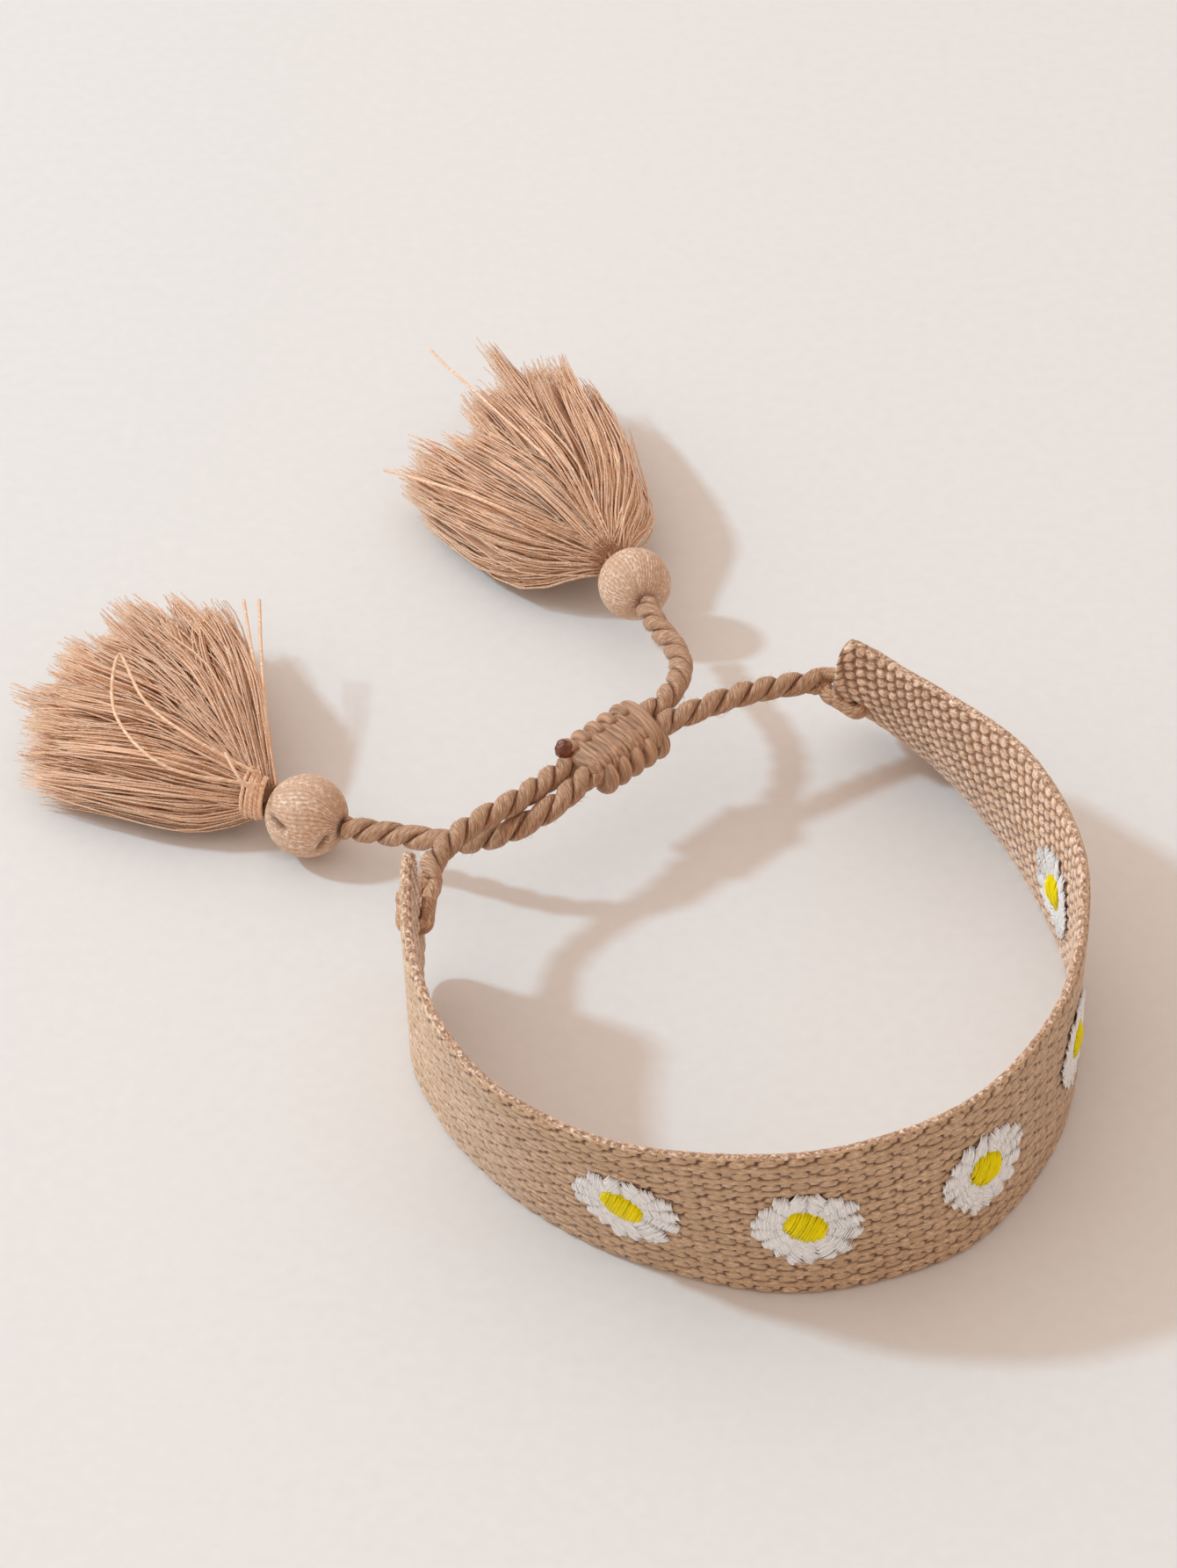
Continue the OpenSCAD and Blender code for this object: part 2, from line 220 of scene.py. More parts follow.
def thread_tubes(paths, radii, sides, ref=(0, 0, 1), flat=1.0):
    """Points of tubes round paths: place + radius (cos a * across + flat * sin a * over)."""
    _, across, over = ring_frame(paths, ref)
    a = 2 * np.pi * np.arange(sides) / sides
    ring = (np.cos(a)[:, None] * across[..., None, :]
            + flat * np.sin(a)[:, None] * over[..., None, :])
    radii = np.broadcast_to(radii, paths.shape[:-1])
    return paths[..., None, :] + radii[..., None, None] * ring


# %% Tubes as part of a mesh
def tube_part(points, run, painted_shade, tone):
    """Points, faces, maps, hollow and tone of closed tubes. points is (tubes, rings, sides, 3),
    or (rings, sides, 3) for a single tube, and run the length in millimetres along a tube at
    its rings. Both ends are closed with a cap. Each tube's map lies MAP_STEP beside the last
    one's, so that no two show the same fibres."""
    points = points.reshape(-1, *points.shape[-3:])
    tubes, rings, sides, _ = points.shape
    run = np.broadcast_to(run, (tubes, rings))
    quads, ii, jj = net_faces(rings, sides)
    shift = (np.arange(tubes) * rings * sides)[:, None, None]
    faces = (quads[None] + shift).reshape(-1, 4)
    girth = np.linalg.norm(points[:, :, 1] - points[:, :, 0], axis=-1).mean()
    along = run[:, ii]
    beside = MAP_STEP * np.arange(tubes)[:, None, None]
    across = np.broadcast_to(jj * girth, along.shape) + beside
    maps = np.stack([along, across], axis=-1).reshape(-1, 4, 2)
    ring = np.arange(sides)
    first = (ring[::-1][None] + shift[:, :, 0]).reshape(-1, sides)
    final = ((rings - 1) * sides + ring[None] + shift[:, :, 0]).reshape(-1, sides)
    caps = np.concatenate([first, final])
    return points, [faces, caps], [maps, np.zeros((len(caps), sides, 2))], painted_shade, tone


# %% [markdown]
# ## Formulas out of shader nodes
#
# A pattern in a material is a formula too, but a tree of nodes is long to write down. So an
# output of a node is wrapped in a small class here: every sign in a formula adds one Math node,
# and the shader's formulas read like those of the shapes.

# %% Values in a node tree
def add_node(tree, kind, **values):
    """Adds a node and sets its plain properties."""
    node = tree.nodes.new(kind)
    for key, value in values.items():
        setattr(node, key, value)
    return node


def feed(tree, slot_in, value):
    """Joins an output to an input, or sets the input to a plain value."""
    value = getattr(value, "output", value)
    if hasattr(value, "links"):
        tree.links.new(value, slot_in)
    else:
        slot_in.default_value = value


def operation(kind, swapped=False):
    """A method that adds one Math node; swapped puts the other side first."""
    def method(self, other=0.0):
        node = add_node(self.tree, "ShaderNodeMath", operation=kind)
        sides = (other, self) if swapped else (self, other)
        for slot_in, value in zip(node.inputs, sides):
            feed(self.tree, slot_in, value)
        return Value(self.tree, node.outputs[0])
    return method


class Value:
    """An output of a node that can stand in a formula, with numbers or other values."""

    def __init__(self, tree, output):
        self.tree = tree
        self.output = output

    __add__ = __radd__ = operation("ADD")
    __mul__ = __rmul__ = operation("MULTIPLY")
    __sub__ = operation("SUBTRACT")
    __rsub__ = operation("SUBTRACT", swapped=True)
    __truediv__ = operation("DIVIDE")
    __pow__ = operation("POWER")
    __mod__ = operation("FLOORED_MODULO")
    __abs__ = operation("ABSOLUTE")
    higher = operation("MAXIMUM")
    floor = operation("FLOOR")
    round = operation("ROUND")
    sine = operation("SINE")

    def smooth(self, at_zero, at_one):
        """A smooth step: 0 where the value is at_zero, and 1 where it is at_one."""
        step = add_node(self.tree, "ShaderNodeMapRange", interpolation_type="SMOOTHSTEP")
        feed(self.tree, step.inputs["Value"], self)
        step.inputs["From Min"].default_value = at_zero
        step.inputs["From Max"].default_value = at_one
        return Value(self.tree, step.outputs["Result"])


# %% Nodes that recur
def mixed(tree, blend, share, first, second):
    """A colour Mix node; each part is a plain value or an output to join."""
    node = add_node(tree, "ShaderNodeMix", data_type="RGBA", blend_type=blend)
    for slot_in, value in zip((node.inputs[0], node.inputs[6], node.inputs[7]),
                              (share, first, second)):
        feed(tree, slot_in, value)
    return node.outputs[2]


def split(tree, vector):
    """The first two numbers of a vector or a colour, as values."""
    parts = tree.nodes.new("ShaderNodeSeparateXYZ")
    tree.links.new(vector, parts.inputs[0])
    return Value(tree, parts.outputs[0]), Value(tree, parts.outputs[1])


def noise(tree, place, scale, detail, roughness=0.5, dimensions="2D"):
    """The outputs of a Noise texture at a place."""
    node = add_node(tree, "ShaderNodeTexNoise", noise_dimensions=dimensions)
    node.inputs["Scale"].default_value = scale
    node.inputs["Detail"].default_value = detail
    node.inputs["Roughness"].default_value = roughness
    tree.links.new(place, node.inputs["Vector"])
    return node.outputs


def new_group(name, inputs, outputs):
    """A shader group, its inputs as values by name, and its results. Each line of inputs and
    outputs is a name, a kind of socket and a value to start with."""
    group = bpy.data.node_groups.new(name, "ShaderNodeTree")
    for way, sockets in (("INPUT", inputs), ("OUTPUT", outputs)):
        for label, kind, value in sockets:
            made = group.interface.new_socket(name=label, in_out=way,
                                              socket_type="NodeSocket" + kind)
            if value is not None:
                made.default_value = value
    given = group.nodes.new("NodeGroupInput").outputs if inputs else []
    result = group.nodes.new("NodeGroupOutput").inputs
    return group, {item.name: Value(group, item) for item in given}, result


# %% [markdown]
# ## The thread's own look
#
# All of it is cotton or satin thread, so one shader group does the work: it darkens the colour
# in the hollows between threads with painted shade, varies it from thread to thread, and draws
# the fine fibres as streaks that run along each thread. Where the fibre noise is high on a crest,
# the colour is mixed towards a pale painted highlight, a glint. Each material sets its own colours
# and strengths. The threads' map carries the streaks, so they turn with the cords and bend with
# the band.

# %% The shared group for spun thread
SPUN_INPUTS = [("Thread", "Color", (0.5, 0.35, 0.25, 1)),
               ("Painted shade", "Color", (0.2, 0.12, 0.08, 1)),
               ("Tone change", "Float", 0.2), ("Streaks", "Float", 0.3),
               ("Fibres per mm", "Float", 5.0), ("Fibre slant", "Float", 0.0),
               ("Breaks per mm", "Float", 0.9), ("Glints", "Float", 0.0), ("Relief and shade", "Float", 1.0)]
SPUN_OUTPUTS = [("Color", "Color", None), ("Roughness", "Float", None), ("Height", "Float", None)]
# GLINT is a painted highlight: a pale colour mixed in where the fibre noise rises from GLINTS_FROM
# to GLINTS_FULL.
GLINT = (0.93, 0.83, 0.74, 1.0)
GLINTS_FROM = 0.52
GLINTS_FULL = 0.66
GROOVE_DEPTH = 0.8


def spun_thread_group():
    """Colour = mix(Painted shade colour, thread colour, painted_shade value times the pattern's
    gap shade) * (1 + tone + fibre streaks), mixed towards the painted highlight colour GLINT where
    the fibre noise is high. Roughness and height follow the fibre noise."""
    group, given, result = new_group("spun_thread", SPUN_INPUTS, SPUN_OUTPUTS)
    threads = add_node(group, "ShaderNodeUVMap", uv_map="threads")
    s, v = split(group, threads.outputs[0])
    across = (v + s * given["Fibre slant"]) * given["Fibres per mm"]
    place = group.nodes.new("ShaderNodeCombineXYZ")
    feed(group, place.inputs[0], s * given["Breaks per mm"])
    feed(group, place.inputs[1], across)
    fibres = Value(group, noise(group, place.outputs[0], 1.0, 3.0, 0.6)["Fac"])
    painted_shade, tone = [Value(group, add_node(group, "ShaderNodeAttribute",
                                          attribute_name=label).outputs["Fac"])
                    for label in ("painted_shade", "tone")]

    # Painted shade: the colour darkens towards the Painted shade colour in the hollows between
    # threads and in the pattern's gaps.
    unshaded_share = painted_shade * given["Relief and shade"]
    base = mixed(group, "MIX", unshaded_share, given["Painted shade"], given["Thread"])
    light = (tone - 0.5) * given["Tone change"] + (fibres - 0.5) * given["Streaks"] + 1.0
    grey = group.nodes.new("ShaderNodeCombineColor")
    for slot_in in grey.inputs[:3]:
        feed(group, slot_in, light)
    colour = mixed(group, "MULTIPLY", 1.0, base, grey.outputs[0])
    # Painted highlight: the pale glint colour where the fibre noise is high on the crests,
    # stronger where tone is raised.
    glint = fibres.smooth(GLINTS_FROM, GLINTS_FULL) * given["Glints"] * unshaded_share * tone
    feed(group, result["Color"], mixed(group, "MIX", glint, colour, GLINT))
    feed(group, result["Roughness"], fibres * 0.7 + 0.15)
    feed(group, result["Height"], fibres + given["Relief and shade"] * GROOVE_DEPTH)
    return group


spun_thread = spun_thread_group()
print("group sockets:", [item.name for item in spun_thread.interface.items_tree])

# %% [markdown]
# ## One material for each kind of thread
#
# The band is cotton with a faint sheen, the cords are softer and darker, the tassels are pale
# and glint most, and the daisies are smooth satin stitch. Only constants sit on the shader's
# own sockets, because the export reads them there.

# %% Thread materials
def srgb(r, g, b):
    """A screen colour from 0 to 255 as the linear colour that a shader takes."""
    c = np.array([r, g, b]) / 255
    c = np.where(c <= 0.04045, c / 12.92, ((c + 0.055) / 1.055) ** 2.4)
    return (*c, 1.0)


# %% A material for thread
def thread_material(name, thread, painted_shade, tone=0.2, streaks=1.8, fibres=5.0, slant=0.0,
                    breaks=0.9, bump=0.7, depth=0.12, sheen=0.15, specular=0.35, glints=0.0,
                    spread=0.4, pattern=None):
    """A Principled material fed by the group for spun thread, and by a pattern if it has one.
    depth is the fibres' bump in millimetres, and spread the roughness of the sheen."""
    material = bpy.data.materials.new(name)
    material.use_nodes = True
    tree = material.node_tree
    shader = tree.nodes["Principled BSDF"]
    yarn = add_node(tree, "ShaderNodeGroup", node_tree=spun_thread)
    settings = (thread, painted_shade, tone, streaks, fibres, slant, breaks, glints)
    for (label, _, _), value in zip(SPUN_INPUTS, settings):
        yarn.inputs[label].default_value = value
    if pattern:
        drawn = add_node(tree, "ShaderNodeGroup", node_tree=pattern)
        tree.links.new(drawn.outputs["Float"], yarn.inputs["Relief and shade"])
    tree.links.new(yarn.outputs["Color"], shader.inputs["Base Color"])
    tree.links.new(yarn.outputs["Roughness"], shader.inputs["Roughness"])
    fine = tree.nodes.new("ShaderNodeBump")
    fine.inputs["Strength"].default_value = bump
    fine.inputs["Distance"].default_value = depth * MM
    tree.links.new(yarn.outputs["Height"], fine.inputs["Height"])
    tree.links.new(fine.outputs[0], shader.inputs["Normal"])
    shader.inputs["Sheen Weight"].default_value = sheen
    shader.inputs["Sheen Roughness"].default_value = spread
    shader.inputs["Specular IOR Level"].default_value = specular
    return material


# %% The cotton of the cords and tassels, and the satin
# In each material the second colour is painted shade for the hollows between threads, and glints
# are painted highlights.
cord_cotton = thread_material("cord_cotton", srgb(208, 162, 126), srgb(132, 88, 59), slant=0.9,
                              fibres=5.5, streaks=2.2, breaks=2.4, bump=0.9, glints=0.7)
knot_cotton = thread_material("knot_cotton", srgb(194, 152, 121), srgb(100, 66, 44), fibres=5.0,
                              streaks=2.0, breaks=0.6, bump=0.9)
bead_cotton = thread_material("bead_cotton", srgb(226, 187, 157), srgb(136, 96, 70), fibres=5,
                              tone=0.10, streaks=0.9, breaks=3.0, glints=1.0)
tassel_cotton = thread_material("tassel_cotton", srgb(248, 202, 163), srgb(184, 132, 96),
                                tone=0.40, fibres=4, slant=1.6, streaks=1.1, breaks=2.6,
                                bump=0.35, specular=0.6, glints=1.3)
white_satin = thread_material("white_satin", srgb(255, 255, 255), srgb(196, 186, 184),
                              tone=0.12, streaks=0.9, fibres=9, specular=0.5)
yellow_satin = thread_material("yellow_satin", srgb(255, 236, 0), srgb(242, 204, 0),
                               tone=0.20, streaks=0.8, fibres=9, sheen=0.0, specular=0.15)

# %% [markdown]
# ## The shape of the band
#
# The band stands on one long edge and leans a little as it goes round. Its table gives, at each
# station, the lower edge, the upper edge and how far the wall bows. A place on the band is then
# a length along it, a height up it and an offset from its middle, and everything that is woven
# or sewn on it is worked out in those three and bent into the ring at the end.

# %% Band table and its coordinates
# Columns: lower edge x, y, z; upper edge x, y; bow of the wall, minus towards the wrist.
BAND_WIDTH = 15.0
BAND_THICK = 1.0
HOLE_INSET = 2.5
HOLE_HEIGHT = 7.5
STATIONS = [
    [-23.4, 2.6, 1.4, -23.8, -0.8, -0.2], [-23.5, -1.1, 0.8, -23.9, -4.0, -0.2],
    [-23.5, -4.5, 0.4, -23.8, -6.6, -0.1], [-23.2, -7.8, 0.1, -23.5, -9.4, 0],
    [-22.0, -11.0, 0, -22.9, -12.4, 0], [-19.7, -15.2, 0, -21.2, -17.4, 0],
    [-15.1, -20.5, 0, -17.1, -23.2, 0], [-8.2, -25.1, 0, -9.4, -28.0, 0],
    [0.8, -27.9, 0, 0.6, -29.3, 0], [8.3, -27.0, 0, 8.5, -27.5, 0],
    [15.4, -23.3, 0, 15.4, -23.1, 0], [21.0, -15.0, 0, 20.8, -15.0, -0.1],
    [23.4, -5.8, 0, 23.0, -5.8, -0.2], [23.8, 2.2, 0, 22.8, 2.0, -0.5],
    [21.7, 11.2, 0, 19.9, 10.2, -0.8], [18.3, 19.6, 0, 14.7, 16.8, -1.2],
    [15.6, 24.8, 0.2, 12.0, 20.0, -1.7], [12.6, 28.1, 1.2, 9.8, 21.9, -2.2],
    [9.7, 30.2, 2.3, 7.8, 22.9, -2.5]]
print("stations along the band:", len(STATIONS))


# %% From length, height and offset to a place
def wall(u):
    """Foot, upward direction, straight height and bow at station u. The foot is raised by 0.3
    of the thickness times the lean; the straight height is the width less the bow's share."""
    r = row_at(STATIONS, u)
    lean = np.hypot(r[..., 3] - r[..., 0], r[..., 4] - r[..., 1])
    z = np.maximum(r[..., 2], 0) + 0.3 * BAND_THICK * lean / BAND_WIDTH
    foot = np.stack([r[..., 0], r[..., 1], z], axis=-1)
    height = BAND_WIDTH * (1 - 8 / 3 * (r[..., 5] / BAND_WIDTH) ** 2)
    rise = np.sqrt(height ** 2 - lean ** 2)
    up = np.stack([r[..., 3] - r[..., 0], r[..., 4] - r[..., 1], rise], axis=-1)
    return foot, up / height[..., None], height, r[..., 5]


def band_middle(u):
    """Half way up the straight wall at station u."""
    foot, up, height, _ = wall(u)
    return foot + up * height[..., None] / 2


def band_frame(u):
    """Directions along the band and outwards from it at station u."""
    along = unit(band_middle(u + 0.05) - band_middle(u - 0.05))
    return along, unit(np.cross(along, wall(u)[1]))


def band_point(u, v, w):
    """Foot + upward * height * t + outward * (4t(1 - t) * bow + offset), with t = v / width."""
    foot, up, height, bow = wall(u)
    t = np.asarray(v) / BAND_WIDTH
    _, out = band_frame(u)
    lift = (4 * t * (1 - t) * bow + w)[..., None]
    return foot + up * (height * t)[..., None] + out * lift


fine_stations = np.linspace(0, len(STATIONS) - 1, 1200)
half_way = np.full(len(fine_stations), BAND_WIDTH / 2)
fine_lengths = lengths_along(band_point(fine_stations, half_way, 0 * half_way))
BAND_LENGTH = float(fine_lengths[-1])


def station_at(s):
    """The station at length s along the band."""
    return np.interp(s, fine_lengths, fine_stations)


def on_band(s, v, w):
    """The place at length s along the band, height v and offset w outwards."""
    s, v, w = np.broadcast_arrays(s, v, w)
    return band_point(station_at(s), v, w)


print(f"the band is {BAND_LENGTH:.1f} mm long")

# %% [markdown]
# ## The weave
#
# Laid out flat, the photograph shows the outer face's pattern: rows 1.27 mm apart, and every
# 1.84 mm along a row a short place where its thread fills the row. Between two such places the
# thread is half as wide, and a small float fills the space between the rows. The inner face has
# an even net of short floats instead. A weave is often drawn with a bump map alone, but here it
# also catches the light and shapes the outline, so it is real relief: the height at any place is
# that of the highest float there. The same patterns are drawn once more in the shader, as bump
# and as painted shade in the narrow gaps, which keeps the gaps crisp.

# %% Height of the weave
# Outer face: rows of broad floats, with small ones between the rows. The pitch of the rows, the
# lowest gap and the period are millimetres. The rest are shares of the period and the pitch.
ROW_PITCH = 1.27
LOWEST_GAP = 0.44
PERIOD = 1.84
COLUMN_SLANT = 0.127
RAISED = 0.05
ROW_WAVE = 0.05
BROAD_UP_TO = 0.11
NARROW_FROM = 0.20
NARROW_HALF = 0.22
SMALL_LONG = 0.35
SMALL_TALL = 0.26
SMALL_SWAY = 0.018
ROW_TURN = 2.4
GAP_TURN = 1.2
WAVE_ALONG = 0.8
WAVE_UP = 0.5
# Inner face: a net of short floats. Long, tall and step are millimetres, the rest are ratios.
GRAIN_LONG = 1.075
GRAIN_TALL = 0.94
GRAIN_SLANT = 0.255
GRAIN_STEP = 0.2
GRAIN_TURN = 0.028
GRAIN_TILT = 0.35


def smoothstep(t):
    """3t^2 - 2t^3 between 0 and 1, and level beyond."""
    t = np.clip(t, 0, 1)
    return t * t * (3 - 2 * t)


def scatter(first, second):
    """A number from 0 to 1 that looks random but is the same for the same pair of numbers."""
    return np.abs(np.sin(first * 12.9898 + second * 78.233) * 43758.5453) % 1.0


def float_height(s, v):
    """Broad floats: sqrt(1 - (b / half)^2) across, half a row to both sides at their middles and
    0.22 of a row from 0.20 of a period on. Small floats: rounded oblongs about the places
    between four broad ones, bridged to the thread above. Returns the highest of these and the
    float's number."""
    y = (v - LOWEST_GAP) / ROW_PITCH + ROW_WAVE * np.sin(s * WAVE_ALONG + v * WAVE_UP)
    base = (s + COLUMN_SLANT * v) / PERIOD
    row = np.floor(y)
    b = y - row - 0.5
    x = base + ROW_WAVE * np.sin(ROW_TURN * row)
    cell = np.round(x)
    a = np.abs(x - cell)
    wide = smoothstep((NARROW_FROM - a) / (NARROW_FROM - BROAD_UP_TO))
    half = NARROW_HALF + (0.5 - NARROW_HALF) * wide
    tone = scatter(row, cell)
    shifted = b - RAISED * (1 - wide)
    broad = np.clip(1 - (shifted / half) ** 2, 0, 1) ** 0.5 * (0.92 + 0.08 * tone)
    gap = np.round(y - RAISED)
    b2 = y - gap - RAISED
    x2 = base - 0.5 + SMALL_SWAY * np.sin(ROW_TURN * gap - GAP_TURN)
    cell2 = np.round(x2)
    a2 = np.abs(x2 - cell2)
    tone2 = scatter(gap + 0.5, cell2)
    dome = np.clip(1 - (a2 / SMALL_LONG) ** 3.5 - np.abs(b2 / SMALL_TALL) ** 2.5, 0, 1)
    small = 0.95 * dome ** 0.4 * (0.92 + 0.08 * tone2)
    bridge = 0.85 * np.exp(-(a2 / 0.15) ** 2 - ((b2 - SMALL_TALL) / 0.14) ** 2)
    height = np.maximum(np.maximum(broad, small), bridge)
    return height, np.where(small > broad, tone2, tone)


def grain_height(s, v):
    """The inner face's even net of short floats, every other column one step higher: the square
    root of 1 - |a / half|^2.4 - |b / half|^2.4 about each float's middle. Returns the height
    and the float's number."""
    x = (s - GRAIN_SLANT * v) / GRAIN_LONG
    column = np.round(x)
    y = (v - GRAIN_STEP * (column % 2) + GRAIN_TURN * s) / GRAIN_TALL
    row = np.round(y)
    tilted = y - row + GRAIN_TILT * (x - column)
    dome = 1 - np.abs((x - column) / 0.46) ** 2.4 - np.abs(tilted / 0.47) ** 2.4
    tone = scatter(row, column)
    return np.sqrt(np.clip(dome, 0, 1)) * (0.88 + 0.12 * tone), tone


patch = np.meshgrid(np.linspace(20, 40, 200), np.linspace(2, 13, 110))
print(f"mean height: floats {float_height(*patch)[0].mean():.2f}, "
      f"grains {grain_height(*patch)[0].mean():.2f}")


# %% The same patterns as shader groups
def pattern_group(name, scale, drift):
    """A group with one output, Float. Its place on the threads' map is moved at random by up to
    half of drift along and up, so that no two floats have quite the same outline."""
    group, _, result = new_group(name, [], [("Float", "Float", None)])
    threads = add_node(group, "ShaderNodeUVMap", uv_map="threads").outputs[0]
    s, v = split(group, threads)
    move_s, move_v = split(group, noise(group, threads, scale, 3.0)["Color"])
    s = s + move_s * drift[0] - drift[0] / 2
    v = v + move_v * drift[1] - drift[1] / 2
    return group, threads, s, v, result["Float"]


# %% The inner face's pattern
def woven_grains_group():
    """1 on the inner face's short floats and less in the gaps between them, with the same net as
    grain_height, for the bump and as painted shade in the gaps. The floats are a little slimmer
    than in the relief, so that the gaps show from the side too, and the painted shade is darkest
    below each float."""
    group, _, s, v, drawn = pattern_group("woven_grains", 3.0, (0.24, 0.20))
    x = (s - v * GRAIN_SLANT) / GRAIN_LONG
    column = x.round()
    y = (v - column % 2.0 * GRAIN_STEP + s * GRAIN_TURN) / GRAIN_TALL
    beside = x - column
    b = (y - y.round() + beside * GRAIN_TILT) / 0.44
    a = abs(beside) / 0.40
    dome = 1.0 - (a ** 2.6 + abs(b) ** 2.6)
    # Painted shade: the gaps are darkest below each float.
    lower = 1.0 - b.smooth(-0.35, 0.15)
    gap = (1.0 - dome.smooth(-0.70, 0.90)) * (lower * 0.40 + 0.50)
    feed(group, drawn, 1.0 - gap)
    return group


# %% The outer face's pattern
def woven_floats_group():
    """1 on the outer face's floats and less in the gaps between them, for the bump and as painted
    shade in the gaps: the same steps as float_height, ending in a smooth step over the outer part
    of each float. The painted shade is darkest under the broad floats and at the small ones' upper
    corners, where the floats above shade the gaps, lighter under the small ones, and hardly there
    above their middles."""
    group, threads, s, v, drawn = pattern_group("woven_floats", 3.2, (0.20, 0.12))
    wave = (s * WAVE_ALONG + v * WAVE_UP).sine()
    y = (v - LOWEST_GAP) / ROW_PITCH + wave * ROW_WAVE
    base = (s + v * COLUMN_SLANT) / PERIOD
    row = y.floor()
    b = y - row - 0.5
    x = base + (row * ROW_TURN).sine() * ROW_WAVE
    narrow = abs(x - x.round()).smooth(BROAD_UP_TO, NARROW_FROM)
    half = narrow * (NARROW_HALF - 0.5) + 0.5
    ratio = (b - narrow * RAISED) / half
    broad = 1.0 - ratio * ratio
    lowered = y - RAISED
    gap = lowered.round()
    above = lowered - gap
    sway = (gap * ROW_TURN - GAP_TURN).sine()
    x2 = base - 0.5 + sway * SMALL_SWAY
    a2 = abs(x2 - x2.round()) / SMALL_LONG
    small = 1.0 - (a2 ** 3.5 + (abs(above) / SMALL_TALL) ** 2.5)
    # Painted shade: the gap depth, weighted by where the floats shade it, darkens the colour; it
    # also feeds the bump.
    depth = 1.0 - broad.higher(small).smooth(-0.10, 0.42)
    corner = a2.smooth(0.25, 0.62)
    upper = above.smooth(-0.06, 0.12)
    over = upper * (corner * 0.92 + 0.08)
    under = (1.0 - upper) * (0.85 - corner * 0.45)
    shade_weight = (over + under).higher(1.0 - narrow)
    specks = Value(group, noise(group, threads, 5.5, 2.0)["Fac"])
    ragged = specks.smooth(0.34, 0.56) * 0.5 + 0.55
    feed(group, drawn, 1.0 - depth * shade_weight * ragged)
    return group


# %% Materials of the band
woven_floats = woven_floats_group()
woven_grains = woven_grains_group()
# The second colour of each is painted shade for the gaps between floats, and glints are painted
# highlights.
band_outside = thread_material("band_outside", srgb(204, 167, 130), srgb(106, 63, 34), fibres=6.0,
                               slant=0.2, tone=0.14, streaks=0.9, breaks=2.2, specular=0.5,
                               glints=0.36, sheen=0.4, spread=0.22, pattern=woven_floats)
band_within = thread_material("band_within", srgb(232, 192, 158), srgb(146, 100, 68), fibres=6.0,
                              slant=-0.2, tone=0.24, streaks=2.0, breaks=2.2, specular=0.5,
                              glints=1.2, sheen=0.5, spread=0.22, pattern=woven_grains)
edge_cotton = thread_material("edge_cotton", srgb(204, 162, 130), srgb(118, 72, 46), fibres=5.0,
                              tone=0.25, streaks=2.6, breaks=4.0, bump=1.0, specular=0.5,
                              glints=1.4)
print("materials:", [material.name for material in bpy.data.materials])

# %% [markdown]
# ## The band's two faces
#
# Each face is a closed skin of its own, half the band's thickness, so that both can carry their
# full relief. At the cut ends the corners are drawn in and the cloth thins out, and at the far
# end it is turned up into a low lip. Where the lamp grazes the cloth, painted light raises the
# tone and with it the painted glints, and painted shade darkens the gaps and the cord holes.

# %% Two faces
SKIN = 0.27
RIM = 0.5
FACE_ROWS = 92
BACK_ROWS = 14
OVERLAP = 0.04
FACE_STEP = 0.23
WEAVE_RELIEF = 0.20
HOLE_DENT = 0.25
LIP = 0.20
HOLE_R = 0.55
HOLE_EDGE = 0.7


def near_hole(s, v):
    """1 away from the two cord holes, falling to 0 in their middles."""
    at_left = np.hypot(s - HOLE_INSET, v - HOLE_HEIGHT)
    at_far = np.hypot(s - (BAND_LENGTH - HOLE_INSET), v - HOLE_HEIGHT)
    return np.clip((np.minimum(at_left, at_far) - HOLE_R) / HOLE_EDGE, 0, 1)


def half_section(side):
    """Ring of (height, offset, outward share) of one half: across its face, then back inside,
    where the two halves overlap a little. The share falls off at the rims like a quarter
    circle."""
    v = np.concatenate([[0.04, 0.09], np.linspace(0.18, BAND_WIDTH - 0.18, FACE_ROWS),
                        [BAND_WIDTH - 0.09, BAND_WIDTH - 0.04]])
    back = np.linspace(BAND_WIDTH - 0.3, 0.3, BACK_ROWS)
    from_rim = np.clip(np.minimum(v, BAND_WIDTH - v) / RIM, 0, 1)
    share = np.sqrt(1 - (1 - from_rim) ** 2)
    face = np.stack([v, SKIN * share, share], axis=1)
    inside = np.stack([back, 0 * back - OVERLAP, 0 * back], axis=1)
    ring = np.concatenate([face, inside])
    ring[:, 1] *= side
    return ring if side > 0 else ring[::-1]


# %% The cloth near the cut ends
CORNER_LEFT = 2.0
CORNER_FAR = 1.2
THIN_OVER = 0.3
THINNEST = 0.45


def corner_depth(s):
    """How far the corners are drawn in at length s: radius - sqrt(radius^2 - rest^2)."""
    radius = np.where(s < BAND_LENGTH / 2, CORNER_LEFT, CORNER_FAR)
    rest = np.clip(radius - np.minimum(s, BAND_LENGTH - s), 0, radius)
    return radius - np.sqrt(radius ** 2 - rest ** 2)


def end_thinning(s):
    """1 along the band, falling to 0.45 over the last 0.3 mm at both ends."""
    from_end = np.minimum(s, BAND_LENGTH - s)
    thin = THINNEST + (1 - THINNEST) * np.sqrt(np.clip(from_end, 0, 1) / THIN_OVER)
    return np.where(from_end < THIN_OVER, thin, 1.0)


def graze_light(s, side):
    """Painted light: extra tone where the lamp grazes the walls, a smooth rise to 1.5 towards the
    left end outside, and a hump of 0.9 * exp(-((s - 88) / 11)^2) inside."""
    if side > 0:
        return 1.5 * smoothstep((28 - s) / 16)
    return 0.9 * np.exp(-((s - 88) / 11) ** 2)


